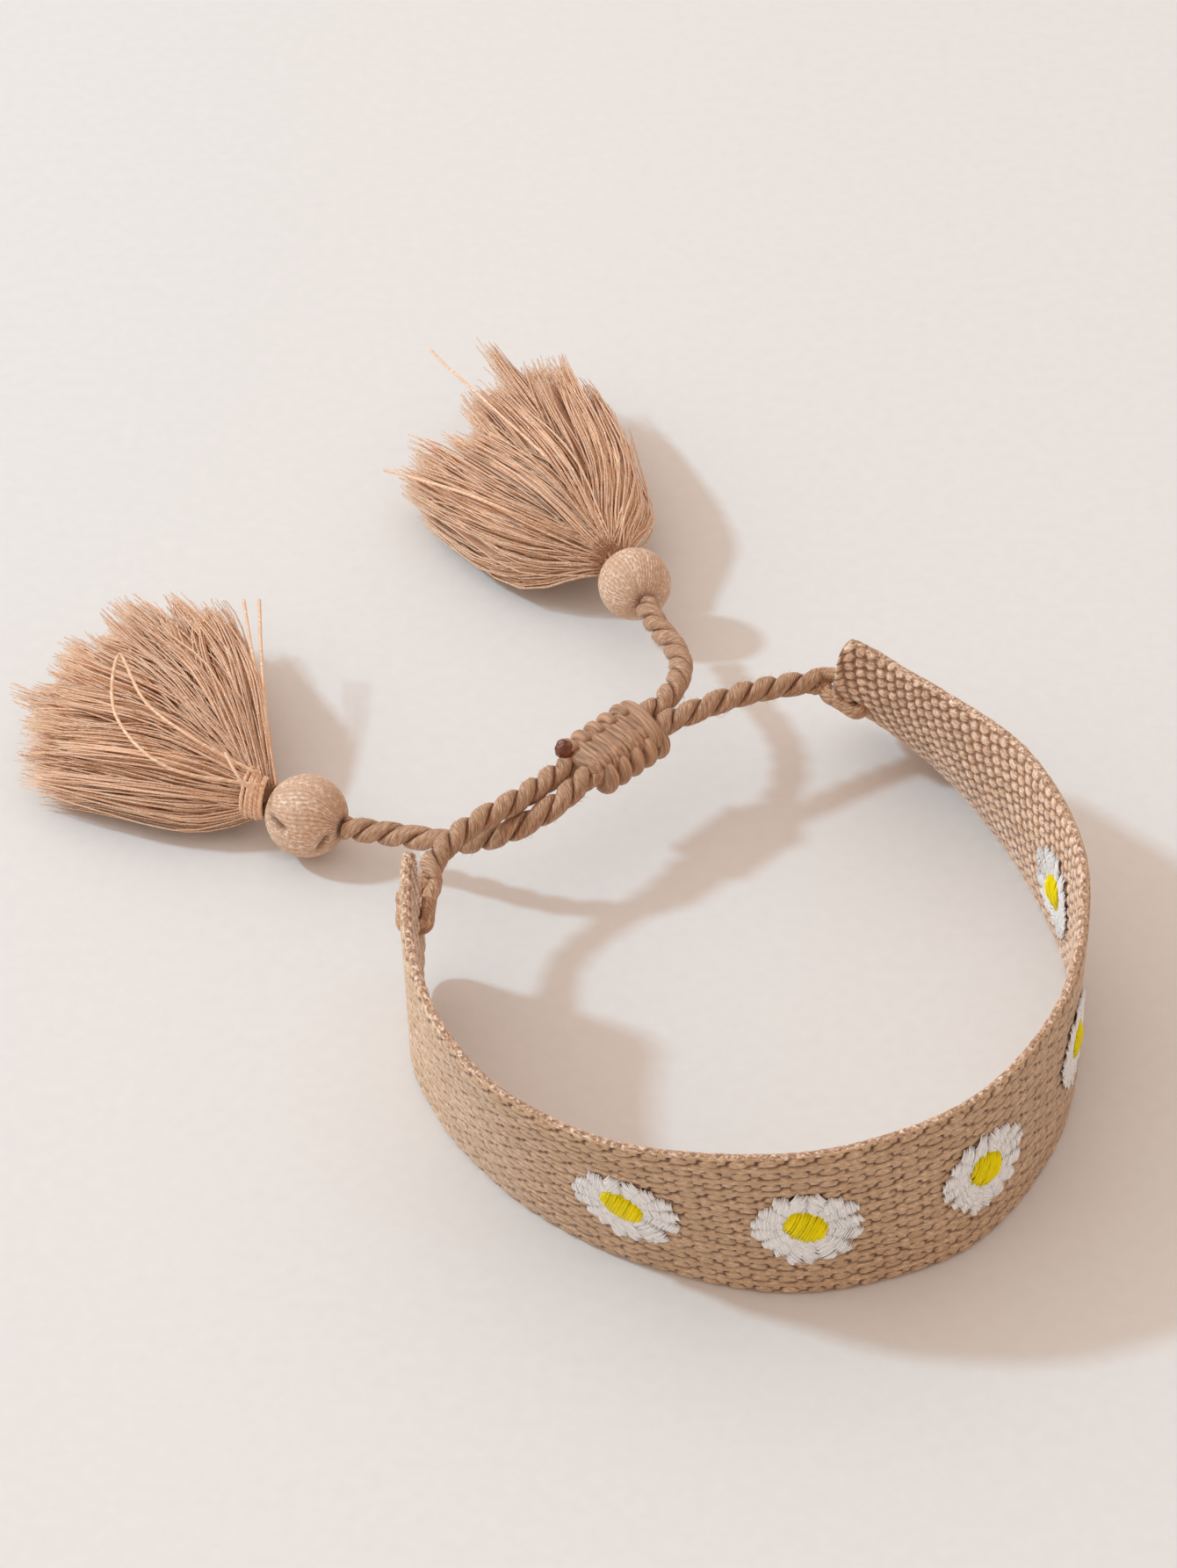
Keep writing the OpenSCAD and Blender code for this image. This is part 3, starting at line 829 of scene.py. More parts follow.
# %% The faces as pieces
def woven_face(name, side, node=None):
    """One half of the band; side is 1 for the outer face and -1 for the inner face. Offset = the
    section's + its outward share * (relief * float height - dent at the holes + lip)."""
    ring = half_section(side)
    edge = np.array([0, 0.07, 0.16, 0.3])
    s = np.concatenate([edge, np.arange(0.5, BAND_LENGTH - 0.4, FACE_STEP),
                        BAND_LENGTH - edge[::-1]])
    gs, v = np.meshgrid(s, ring[:, 0], indexing="ij")
    height, tone = float_height(gs, v) if side > 0 else grain_height(gs, v)
    hole = near_hole(gs, v)
    from_far = BAND_LENGTH - gs
    lip = LIP * np.exp(-((from_far - 0.45) / 0.35) ** 2)
    rise = WEAVE_RELIEF * height * hole - HOLE_DENT * (1 - hole) + lip
    depth = corner_depth(gs)
    inset = depth + v * (BAND_WIDTH - 2 * depth) / BAND_WIDTH
    offset = (ring[:, 1] + side * ring[:, 2] * rise) * end_thinning(gs)
    points = on_band(gs, inset, offset)
    rings, around = v.shape
    quads, ii, jj = net_faces(rings, around)
    girth = np.append(ring[:, 0], ring[0, 0])
    maps = np.stack([s[ii], girth[jj]], axis=-1)
    flat = points.reshape(-1, 3)
    here = np.arange(around)
    after = (here + 1) % around
    first = np.full(around, len(flat))
    base = (rings - 1) * around
    caps = np.concatenate([np.stack([first, after, here], axis=1),
                           np.stack([first + 1, base + here, base + after], axis=1)])
    flat = np.concatenate([flat, [points[0].mean(0), points[-1].mean(0)]])
    # Painted shade: darker in the gaps between floats and at the cord holes. Painted light: tone
    # raised where the lamp grazes the walls.
    shade = np.append((np.clip(1.5 * height, 0, 1) * hole).ravel(), [0.4, 0.4])
    tones = np.append((tone + graze_light(gs, side)).ravel(), [0.5, 0.5])
    return add_piece(name, flat, [quads, caps], [maps, np.zeros((len(caps), 3, 2))], shade,
                     tones, band_outside if side > 0 else band_within, "band", node)


band = woven_face("woven_band", 1, "band")
band_inside = woven_face("woven_band_inside", -1)

# %% [markdown]
# ## The bound edges
#
# Along both long edges the cross threads turn round the outermost long threads and back into the
# cloth. What shows is a slim, ragged line of short slanted marks, some of them pale with painted
# highlights. Each edge is a tube with low slanted ridges, pressed flat against the cloth.

# %% Bound edges
EDGE_SIDES = 14
EDGE_STEP = 0.92
EDGE_HALF_HIGH = 0.17
EDGE_HALF_THICK = 0.29
EDGE_INSET = 0.18


def bound_edge(name, v_at):
    """Oval tube on the band's own coordinates: radius * (0.90 + 0.10 * ridge), the ridge |sin|
    of length along plus half the angle round. Some ridges carry pale marks, which are painted
    highlights, and the colour darkens between the ridges as painted shade."""
    s = np.concatenate([[0.5, 0.55], np.arange(0.7, BAND_LENGTH - 0.4, 0.15)])
    a = 2 * np.pi * np.arange(EDGE_SIDES)[::-1] / EDGE_SIDES
    gs, ga = np.meshgrid(s, a, indexing="ij")
    phase = np.pi * gs / EDGE_STEP + 0.5 * ga + 0.5 * np.sin(gs * 1.3)
    ridge = np.abs(np.sin(phase)) ** 0.6
    size = 0.90 + 0.10 * ridge
    size = size * np.where(np.minimum(gs, BAND_LENGTH - gs) < 0.52, 0.5, 1.0)
    depth = corner_depth(gs)
    place = v_at + np.where(v_at > BAND_WIDTH / 2, -depth, depth)
    points = on_band(gs, place + EDGE_HALF_HIGH * size * np.cos(ga),
                     EDGE_HALF_THICK * size * np.sin(ga))
    number = np.floor(phase / np.pi)
    # Painted highlight: a raised tone on some ridge tops makes the pale marks.
    highlight_marks = (scatter(number, 7.0) > 0.4) * (np.abs(np.cos(ga * 2 + number)) > 0.7)
    tone = scatter(number, v_at) + 2.0 * (ridge > 0.9) * highlight_marks
    return add_piece(name, *tube_part(points, s, 0.40 + 0.60 * ridge, tone), edge_cotton, "band")


upper_edge = bound_edge("bound_edge_upper", BAND_WIDTH - EDGE_INSET)
lower_edge = bound_edge("bound_edge_lower", EDGE_INSET)

# %% [markdown]
# ## The daisies
#
# Each daisy is satin stitch: sixteen petals, every one a fan of short stitches laid side by side
# across it, and an eye of slanted yellow stitches. The machine sews both faces, so the same
# flower shows inside. A stitch is a small arched tube in the band's own coordinates.

# %% Stitches
DAISIES = [33.7, 45.8, 58.9, 72.6, 87.3]
DAISY_HEIGHT = 7.9
CLOTH_TOP = 0.42
FULL_RISE = 0.24


def stitch_tubes(start, end, rise, radius, base):
    """Arched threads from start to end, both (stitches, 2) in length and height on the band:
    the offset follows base + rise * sqrt(1 - (2t - 1)^4) along the stitch."""
    t = np.linspace(0, 1, 5)
    line = start[:, None] + (end - start)[:, None] * t[:, None]
    lift = base + rise * np.sqrt(1 - (2 * t - 1) ** 4)[None, :] * np.ones((len(start), 1))
    lift = lift + 0.03 * rng.uniform(-1, 1, (len(start), 1))
    paths = np.stack([line[..., 0], line[..., 1], lift], axis=-1)
    slim = radius * (0.55 + 0.45 * np.sin(np.pi * np.clip(t, 0.02, 0.98)) ** 0.4)
    run = np.linalg.norm(end - start, axis=1)[:, None] * t
    return thread_tubes(paths, slim, 4, flat=0.8), run


def sewn_piece(name, node, slot, material, points, run, side):
    """Bends stitches into the ring and puts them in place of a solid. Those of the inner face
    are mirrored, so their rings are turned round to keep the faces outwards."""
    if side < 0:
        points = points[:, :, ::-1]
    placed = on_band(points[..., 0], points[..., 1], side * points[..., 2])
    # Painted shade: the stitches darken where they run low, near the cloth.
    up = np.clip(points[..., 2] - CLOTH_TOP, 0, FULL_RISE) / FULL_RISE
    tone = rng.uniform(0, 1, len(placed))[:, None, None]
    part = tube_part(placed, run, 0.25 + 0.75 * up, tone)
    return add_piece(name, *part, material, slot, node)


# %% Where the petals' stitches run
# Columns: angle of the petal in degrees, its reach, its width at the tip, angle of its stitches.
# A petal has more stitches on the outer face, 1, than on the inner face, -1.
PETALS = [
    [-3, 4.05, 0.95, 112], [22, 3.80, 0.85, 105], [50, 3.45, 0.80, 112], [76, 3.45, 0.90, 122],
    [101, 3.55, 0.85, 62], [127, 3.80, 0.80, 78], [151, 3.55, 0.80, 88], [174, 3.65, 0.90, 92],
    [197, 3.60, 0.75, 100], [220, 3.55, 0.75, 112], [241, 3.75, 0.80, 112],
    [261, 4.30, 0.75, 128], [280, 4.20, 0.70, 142], [297, 4.30, 0.75, 40],
    [313, 4.45, 0.75, 52], [335, 4.20, 0.85, 62]]
STITCHES = {1: 32, -1: 22}
RAYS = 72
TIP_CURVE = 0.62


def petal_stitches(count):
    """Start and end of each stitch: middles along each petal's axis, from 1.3 mm to 0.12 mm
    before the tip, and half a petal's width to both sides at the petal's own stitch angle, cut
    short where it would pass the rounded tip: reach - 0.62 * (distance from the axis)^2. A ring
    of straight stitches lies under the petals, one in each ray from the eye."""
    rows = np.array(PETALS, float)
    angle = np.radians(rows[:, 0] + 3 * rng.uniform(-1, 1, len(rows)))[:, None]
    stitch = np.radians(rows[:, 3] + 6 * rng.uniform(-1, 1, len(rows)))[:, None]
    reach = rows[:, 1:2]
    t = np.linspace(0, 1, count)[None]
    radial = 1.3 + (reach - 1.42) * t
    width = np.interp(t[0], [0, 0.3, 0.65, 1], [0.85, 1.2, 1.55, 1.35])[None]
    width = np.where(t > 0.65, width * (1 + (rows[:, 2:3] - 1.0) * (t - 0.65) / 0.35), width)
    crossing = np.maximum(np.abs(np.sin(stitch - angle)), 0.62)
    half = 0.5 * width / crossing * (1 + 0.16 * rng.uniform(-1, 1, (len(rows), count)))
    further = half * np.cos(stitch - angle)
    tip = reach - TIP_CURVE * (half * np.sin(stitch - angle)) ** 2
    kept = np.clip((tip - radial) / np.maximum(np.abs(further), 0.01), 0.3, 1)
    kept = np.where(radial + np.abs(further) > tip, kept, 1.0)
    middle = np.stack([np.cos(angle) * radial, np.sin(angle) * radial], axis=-1)
    cross = np.stack([np.cos(stitch), np.sin(stitch)], axis=-1)
    jitter = 0.05 * rng.uniform(-1, 1, middle.shape)
    before = half * np.where(further > 0, 1.0, kept)
    beyond = half * np.where(further > 0, kept, 1.0)
    start = middle - cross * before[..., None] + jitter
    end = middle + cross * beyond[..., None] + jitter[:, ::-1]
    ray = np.radians(np.arange(0, 360, 360 // RAYS) + 2 * rng.uniform(-1, 1, RAYS))
    outward = np.stack([np.cos(ray), np.sin(ray)], axis=1)
    ray_end = outward * (2.80 - 0.30 * np.sin(ray)[:, None])
    return (np.concatenate([start.reshape(-1, 2), outward * 1.2]),
            np.concatenate([end.reshape(-1, 2), ray_end]))


# %% The eye's stitches
EYE_HALF_LONG = 1.78
EYE_HALF_WIDE = 1.32
EYE_TILT = math.radians(-55)
EYE_LAY = math.radians(72)
EYE_STITCHES = 27


def eye_stitches():
    """Steep parallel chords of an ellipse whose long axis falls to the right: each runs between
    the two roots of p x^2 + 2 q x + r along a line at its own distance from the middle."""
    run = np.array([math.cos(EYE_LAY), math.sin(EYE_LAY)])
    side = np.array([run[1], -run[0]])
    axes = np.array([[math.cos(EYE_TILT), math.sin(EYE_TILT)],
                     [-math.sin(EYE_TILT), math.cos(EYE_TILT)]])
    shape = axes.T @ np.diag([EYE_HALF_LONG ** -2, EYE_HALF_WIDE ** -2]) @ axes
    off = np.linspace(-1.42, 1.42, EYE_STITCHES)
    p = run @ shape @ run
    q = off * (run @ shape @ side)
    r = off ** 2 * (side @ shape @ side) - 1
    root = np.sqrt(np.clip(q ** 2 - p * r, 0.02, None))
    loose = 0.10 * rng.uniform(-1, 1, (2, len(off)))
    low = (-q - root) / p + loose[0]
    high = (-q + root) / p + loose[1]
    start = off[:, None] * side + low[:, None] * run
    end = off[:, None] * side + high[:, None] * run
    return start, end


# %% Ten flowers
def daisy(number, side):
    """Petals and eye of one flower, on the outer face (side 1) or the inner face (side -1)."""
    tag = "" if side > 0 else "_inside"
    centre = np.array([DAISIES[number - 1], DAISY_HEIGHT])
    start, end = petal_stitches(STITCHES[side])
    points, run = stitch_tubes(centre + start, centre + end, rise=0.14, radius=0.066, base=0.50)
    points[-RAYS:, ..., 2] -= 0.08
    sewn_piece(f"petal_stitches_{number}{tag}", f"daisy_{number}_petals{tag}", "petals",
               white_satin, points, run, side)
    start, end = eye_stitches()
    points, run = stitch_tubes(centre + start, centre + end, rise=0.18, radius=0.098, base=0.66)
    points[::2, ..., 2] -= 0.06
    sewn_piece(f"eye_stitches_{number}{tag}", f"daisy_{number}_eye{tag}", "eye", yellow_satin,
               points, run, side)


for number in range(1, 6):
    for side in (1, -1):
        daisy(number, side)

# %% [markdown]
# ## The cords
#
# A cord is two plies twisted round each other, and each ply is a bundle of finer yarns. So each
# ply follows a helix round the cord's own line, and its surface has shallow grooves that wind
# round it. Where the cord meets the band the plies part, and one thread passes through the hole
# from the first ply to the second.

# %% Cord routes and plies
CORD_LEFT = [
    [-22.6, 2.7, 8.5], [-22.3, 4.8, 8.6], [-20.9, 7.1, 8.7], [-18.7, 9.3, 8.7],
    [-16.1, 11.5, 8.6], [-13.7, 14.1, 8.4], [-12.8, 15.1, 8.3], [-10.0, 17.9, 8.3],
    [-7.2, 20.7, 8.3], [-6.2, 21.7, 8.2], [-4.9, 24.1, 7.8], [-4.2, 27.3, 7.2],
    [-4.7, 30.5, 6.6], [-5.8, 33.2, 6.1], [-6.7, 36.5, 5.5]]
CORD_FAR = [
    [6.1, 25.8, 7.2], [3.5, 24.9, 7.6], [0.9, 23.7, 8.0], [-1.5, 22.4, 8.2],
    [-3.4, 21.2, 8.3], [-5.0, 20.3, 8.3], [-6.0, 19.3, 8.3], [-8.8, 16.5, 8.3],
    [-11.6, 13.7, 8.3], [-12.4, 12.7, 8.2], [-13.9, 11.2, 7.9], [-16.0, 10.2, 7.1],
    [-18.5, 10.0, 6.0], [-20.7, 10.6, 5.0], [-22.4, 11.4, 4.4], [-25.2, 12.6, 3.8],
    [-29.2, 13.8, 3.4]]
LAY = 4.3


# %% Plies and hairs
HELIX_R = 0.38
PLY_DEEP = 0.55
PLY_WIDE = 0.72
SHADE_FROM = 0.54
SHADE_DEPTH = 0.22
HAIRS = 420
HAIR_R = 0.016
PLY_SIDES = 30
YARNS = 12
GROOVE = 0.09


def ply_points(paths, run, deep, wide, across, over):
    """Oval tubes, deep along across and wide along over, times 1 - groove + groove * |cos| of
    half the yarns' number times the angle, which turns slowly along the ply."""
    a = 2 * np.pi * np.arange(PLY_SIDES) / PLY_SIDES
    turn = YARNS * a / 2 + 0.9 * run[..., None] + 0.5 * np.sin(run[..., None] * 1.9)
    crest = np.abs(np.cos(turn)) ** 0.8
    size = 1 - GROOVE + GROOVE * crest
    ring = (deep * np.cos(a)[:, None] * across[..., None, :]
            + wide * np.sin(a)[:, None] * over[..., None, :])
    return paths[..., None, :] + size[..., None] * ring, crest


def stray_hairs(paths, outward):
    """Short hairs that leave the plies: a place on a ply, its surface direction there, and a
    curl that grows with the square of the hair's length."""
    ply = rng.integers(0, 2, HAIRS)
    at = rng.integers(6, paths.shape[1] - 6, HAIRS)
    along = unit(paths[ply, at + 1] - paths[ply, at])
    side = unit(outward[ply, at] + 0.9 * rng.uniform(-1, 1, (HAIRS, 3)))
    t = np.linspace(0, 1, 4)
    reach = rng.uniform(0.3, 0.9, (HAIRS, 1, 1)) * rng.choice([-1, 1], (HAIRS, 1, 1))
    lift = rng.uniform(0.08, 0.34, (HAIRS, 1, 1))
    start = (paths[ply, at] + 0.50 * side)[:, None]
    lines = start + reach * t[:, None] * along[:, None] + lift * t[:, None] ** 2 * side[:, None]
    hairs = thread_tubes(lines, HAIR_R * (1 - t / 2), 3, ref=(0.1, 0.2, 1))
    return tube_part(hairs, t, 1.0, 0.7)


# %% A twisted cord
def aside_at(route, u_hole):
    """The direction of the cord at its start, and the one in which its plies part there:
    outwards from the band, square to the cord."""
    t = unit(np.array(route[0]) - np.array(route[1]))
    out = band_frame(u_hole)[1]
    return t, unit(out - (out @ t) * t)


def twisted_cord(name, node, route, s_hole):
    """Two plies on opposite sides of a helix: line + 0.38 (cos, sin of turn) across and over."""
    line = even_path(route, 0.2)
    run = lengths_along(line)
    t, across, over = ring_frame(line, (0, 0, 1))
    _, aside = aside_at(route, station_at(s_hole))
    first = math.atan2(aside @ over[0], aside @ across[0])
    turn = first - 2 * np.pi * run / LAY + 0.25 * np.sin(run * 0.7)
    away = np.cos(turn)[:, None] * across + np.sin(turn)[:, None] * over
    outward = np.stack([away, -away])
    paths = line + HELIX_R * outward
    plies, crest = ply_points(paths, run, PLY_DEEP, PLY_WIDE, outward, np.cross(t, outward))
    distance = np.linalg.norm(plies - line[:, None], axis=-1)
    # Painted shade: the plies darken where their surface lies near the cord's middle, between the
    # plies.
    painted_shade = np.clip((distance - SHADE_FROM) / SHADE_DEPTH, 0, 1) * (0.6 + 0.4 * crest)
    tone = np.array([0.4, 0.6])[:, None, None]
    whole = join_parts([tube_part(plies, run, painted_shade, tone), stray_hairs(paths, outward)])
    return add_piece(name, *whole, cord_cotton, "cord", node), line, float(run[-1])


# %% Loops through the band's holes
# Columns: distance from the hole along the band, and offset outwards.
LOOP_BENDS = np.array([
    [2.7, 0.9], [2, 0.85], [1.2, 0.85], [0.6, 0.85], [0.2, 0.75], [0, 0.4], [0, -0.4],
    [0.2, -0.75], [0.6, -0.85], [1.2, -0.85], [2, -0.9], [2.8, -0.95]])


def cord_loop(name, node, route, s_hole, way):
    """The thread that leaves one ply, passes through the band's hole and joins the other."""
    u = station_at(s_hole)
    t, aside = aside_at(route, u)
    along, out = band_frame(u)
    hole = band_point(u, HOLE_HEIGHT, 0.0)
    start = np.array(route[0])
    middle = hole - way * LOOP_BENDS[:, :1] * along + LOOP_BENDS[:, 1:] * out
    rows = np.concatenate([[start - 0.4 * t + 0.41 * aside, start + 0.5 * t + 0.45 * aside],
                           middle,
                           [start + 0.5 * t - 0.45 * aside, start - 0.4 * t - 0.41 * aside]])
    line = even_path(rows, 0.15)
    run = lengths_along(line)
    _, across, over = ring_frame(line, (0, 0, 1))
    points, crest = ply_points(line, run, 0.56, 0.62, across, over)
    # Painted shade: darker in the grooves between the yarns.
    part = tube_part(points, run, 0.5 + 0.5 * crest, 0.5)
    return add_piece(name, *part, cord_cotton, "cord", node)


# %% The two cords and their loops
S_LEFT = HOLE_INSET
S_FAR = BAND_LENGTH - HOLE_INSET
left_cord, left_line, left_length = twisted_cord("twisted_cord_left", "cord_left", CORD_LEFT,
                                                 S_LEFT)
far_cord, far_line, far_length = twisted_cord("twisted_cord_far", "cord_far", CORD_FAR, S_FAR)
left_loop = cord_loop("cord_loop_left", "cord_left_loop", CORD_LEFT, S_LEFT, 1)
far_loop = cord_loop("cord_loop_far", "cord_far_loop", CORD_FAR, S_FAR, -1)
print(f"cords: left {left_length:.1f} mm, far {far_length:.1f} mm")

# %% [markdown]
# ## The sliding knot
#
# A short cord is knotted flat over the two long ones. Its turns lie side by side across them,
# each side shows the bights where the turns go round, and its cut end is sealed with a flame
# into a small brown bead. The flat turns are one closed skin with slanted ridges, and the
# bights are short thick tubes.

# %% Knot
KNOT_AT = np.array([-9.4, 17.2, 8.3])
KNOT_TURN = math.radians(45)
KNOT_LENGTH = 7.2


def knot_place(local):
    """Turns local points (along the cords, across them, up) to the knot's place."""
    c, s = math.cos(KNOT_TURN), math.sin(KNOT_TURN)
    x, y, z = local[..., 0], local[..., 1], local[..., 2]
    return KNOT_AT + np.stack([c * x - s * y, s * x + c * y, z], axis=-1)


# %% The knot's turns
KNOT_HALF_WIDE = 2.05
KNOT_HALF_HIGH = 1.46
KNOT_SQUARE = 0.62
RIDGE_STEP = 0.42
TURN_STEP = 1.75
RIDGE_HIGH = 0.035


def knot_wrap():
    """Section: a flat oval, its cos and sin raised to 0.62. Fine ridges 0.42 mm apart cross it
    at a slant, and low waves 1.75 mm apart mark the turns; the ends draw in. The map is
    turned, so that the fibres run round the knot."""
    x = np.linspace(-1, 1, 120) * KNOT_LENGTH / 2
    a = 2 * np.pi * np.arange(84) / 84
    gx, ga = np.meshgrid(x, a, indexing="ij")
    lean = -0.2 * np.cos(ga) * np.sign(np.sin(ga))
    slant = gx + lean + 0.08 * np.sin(3.1 * gx + 2 * ga)
    fine = np.abs(np.sin(np.pi * slant / RIDGE_STEP)) ** 0.7
    coarse = np.abs(np.sin(np.pi * slant / TURN_STEP)) ** 0.5
    end = np.sqrt(np.clip(1 - (np.abs(gx) / (KNOT_LENGTH / 2 + 0.02)) ** 7, 0, 1))
    grow = (0.915 + RIDGE_HIGH * fine + RIDGE_HIGH * coarse) * (0.34 + 0.66 * end)
    y = KNOT_HALF_WIDE * grow * np.sign(np.cos(ga)) * np.abs(np.cos(ga)) ** KNOT_SQUARE
    z = KNOT_HALF_HIGH * grow * np.sign(np.sin(ga)) * np.abs(np.sin(ga)) ** KNOT_SQUARE
    # Painted shade: darker in the grooves between the ridges and the turns.
    part = tube_part(knot_place(np.stack([gx, y, z], axis=-1)), x + 10,
                     0.30 + 0.45 * fine + 0.25 * coarse, 0.5)
    maps = part[2]
    maps[0] = maps[0][..., ::-1]
    return part


# %% Bights, and the whole knot
def knot_bights():
    """Five bights on each side, from the top edge round the side to the under edge, and one
    thread that crosses the top at the far end. Each follows cos and sin of an angle."""
    t = np.linspace(0, 1, 16)
    a = np.pi * (t - 0.5) * 1.25
    paths = []
    for side in (-1, 1):
        for k in range(5):
            x = (k - 1.95 - 0.15 * side) * KNOT_LENGTH / 5.4 + 0.5 * (t - 0.5) * side
            y = 1.25 + 0.98 * np.cos(a) if side > 0 else 1.58 + 0.72 * np.cos(a)
            z = 0.10 - 1.12 * np.sin(a) if side > 0 else -0.32 - 0.82 * np.sin(a)
            paths.append(np.stack([x, side * y, z], axis=-1))
    a = np.pi * (t - 0.5) * 1.1
    paths.append(np.stack([0.40 * KNOT_LENGTH + 1.1 * (t - 0.5), 2.1 * np.sin(a),
                           0.35 + 1.05 * np.cos(a)], axis=-1))
    paths = np.array(paths)
    local = thread_tubes(paths, 0.42 + 0.14 * np.sin(np.pi * t), 14, ref=(1, 0, 0.01))
    return tube_part(knot_place(local), t * 3.4, 0.9, 0.5)


add_piece("wrapped_knot", *join_parts([knot_wrap(), knot_bights()]), knot_cotton, "knot",
          "sliding_knot")

# %% [markdown]
# ## The sealed end of the knot
#
# Melted thread is dark red-brown, lumpy and shiny. It is a small ball with a few low waves, in
# a glossy material of its own.

# %% Sealed end
BALL_RINGS = 24
BALL_SIDES = 32


def lumpy_ball(centre, radius, lumps):
    """Ball with radius * (1 + low waves of both angles), closed at its poles."""
    lat = np.linspace(0.03, np.pi - 0.03, BALL_RINGS)
    lon = 2 * np.pi * np.arange(BALL_SIDES) / BALL_SIDES
    la, lo = np.meshgrid(lat, lon, indexing="ij")
    waves = np.sin(3 * lo + 2 * la) + np.sin(2 * lo - 5 * la)
    bumps = np.sin(6 * lo + 1.0) * np.sin(6 * la) * np.sin(la)
    size = radius * (1 + lumps * (0.7 * waves + 0.8 * bumps))
    ball = np.stack([np.sin(la) * np.cos(lo), np.sin(la) * np.sin(lo), np.cos(la)], axis=-1)
    return centre + size[..., None] * ball


# %% A material that drifts between two colours
def plain_material(name, scale, detail, low, high, roughness):
    """A material whose colour drifts between two near ones with a noise. Returns its shader
    too."""
    material = bpy.data.materials.new(name)
    material.use_nodes = True
    tree = material.node_tree
    shader = tree.nodes["Principled BSDF"]
    place = tree.nodes.new("ShaderNodeTexCoord").outputs["Object"]
    clouds = noise(tree, place, scale, detail, dimensions="3D")["Fac"]
    tree.links.new(mixed(tree, "MIX", clouds, low, high), shader.inputs["Base Color"])
    shader.inputs["Roughness"].default_value = roughness
    return material, shader


melted_thread, _ = plain_material("melted_thread", 1800, 2, srgb(58, 26, 20), srgb(150, 84, 60),
                                  0.28)
end_at = knot_place(np.array([-0.48 * KNOT_LENGTH, 1.58, 1.1]))
ball = lumpy_ball(end_at, 0.74, 0.07)[::-1]
add_piece("sealed_end", *tube_part(ball, np.linspace(0, 2, BALL_RINGS), 1.0, 1.0),
          melted_thread, "knot")

# %% [markdown]
# ## The wound beads
#
# Each bead is a wooden ball covered with thread that is wound from pole to pole through its
# hole. The poles lie on the cord. The threads are ridges that run from one pole to the other,
# pressed a little over each other, and the surface dips into the hole at each pole.

# %% Beads
LEFT_BEAD_AT = np.array([-32.1, 15.1, 3.4])
LEFT_BEAD_D = 6.2
FAR_BEAD_AT = np.array([-7.6, 39.5, 5.2])
FAR_BEAD_D = 5.7
BEAD_RINGS = 45
POLE_GAP = 0.16
POLE_DIP = 0.22
SLIT_DEPTH = 0.16


def wound_bead(name, node, centre, diameter, pole, threads, skew, slits):
    """Radius * (0.975 + 0.028 * ridge), ridge = |cos| of threads times longitude plus a skew of
    latitude; it dips into the hole at the poles and into the slits where threads part. A slit
    is the direction of its middle and the one in which it runs."""
    pole = unit(np.asarray(pole, float))
    first = unit(np.cross(pole, (0, 0, 1)))
    second = np.cross(pole, first)
    lat = np.linspace(0, 1, BEAD_RINGS)
    sides = threads * 4
    lon = 2 * np.pi * np.arange(sides) / sides
    la, lo = np.meshgrid(lat, lon, indexing="ij")
    angle = POLE_GAP + (np.pi - 2 * POLE_GAP) * la
    phase = threads * lo / 2 + skew * np.sin(2 * angle) + 2.2 * np.sin(3 * lo + 2 * angle)
    ridge = np.abs(np.cos(phase)) ** 0.7
    dip = np.exp(-((np.pi / 2 - np.abs(angle - np.pi / 2)) / 0.2) ** 2)
    ball = (np.cos(angle)[..., None] * pole + np.sin(angle)[..., None]
            * (np.cos(lo)[..., None] * first + np.sin(lo)[..., None] * second))
    gap = 0 * dip
    for way, lie in slits:
        way = unit(np.array(way))
        lie = unit(np.array(lie))
        long = (ball - way) @ lie
        wide = (ball - way) @ np.cross(way, lie)
        deep = ball @ way > 0
        gap = np.maximum(gap, deep * np.exp(-(long / 0.24) ** 4 - (wide / 0.075) ** 2))
    size = diameter / 2 * (0.975 + 0.028 * ridge - POLE_DIP * dip - SLIT_DEPTH * gap)
    points = centre + size[..., None] * ball
    # Painted shade: darker between the threads, in the holes at the poles and in the slits.
    shade = (0.62 + 0.38 * ridge) * (1 - 0.85 * dip) * (1 - gap ** 0.7)
    tone = scatter(np.floor(phase / np.pi + 0.5), 5.0)
    part = tube_part(points[::-1], np.linspace(0, 8, BEAD_RINGS), shade[::-1], tone[::-1])
    return add_piece(name, *part, bead_cotton, "bead", node)


left_bead = wound_bead("wound_bead_left", "left_bead", LEFT_BEAD_AT, LEFT_BEAD_D,
                       pole=LEFT_BEAD_AT - far_line[-1], threads=60, skew=1.2,
                       slits=[((-0.68, -0.65, 0.34), (1, -0.25, -0.3)),
                              ((0.44, -0.90, -0.08), (0.5, 0.3, 0.8))])
far_bead = wound_bead("wound_bead_far", "far_bead", FAR_BEAD_AT, FAR_BEAD_D,
                      pole=FAR_BEAD_AT - left_line[-1], threads=56, skew=0.9,
                      slits=[((0.34, -0.93, -0.04), (0.3, 0.3, 0.9))])

# %% [markdown]
# ## The tassels
#
# A tassel is hundreds of fine twisted strands, bound behind the bead and spread over the table.
# Blender's hair would draw them, but hair isn't kept in the export, so each strand is a thin
# tube. The solid has the tassel's form in about ten locks. The strands keep together in clumps:
# each clump follows a line between two neighbour locks, near the surface, with a slow wander,
# and its strands lie loosely round it and end somewhat before or after its tip.

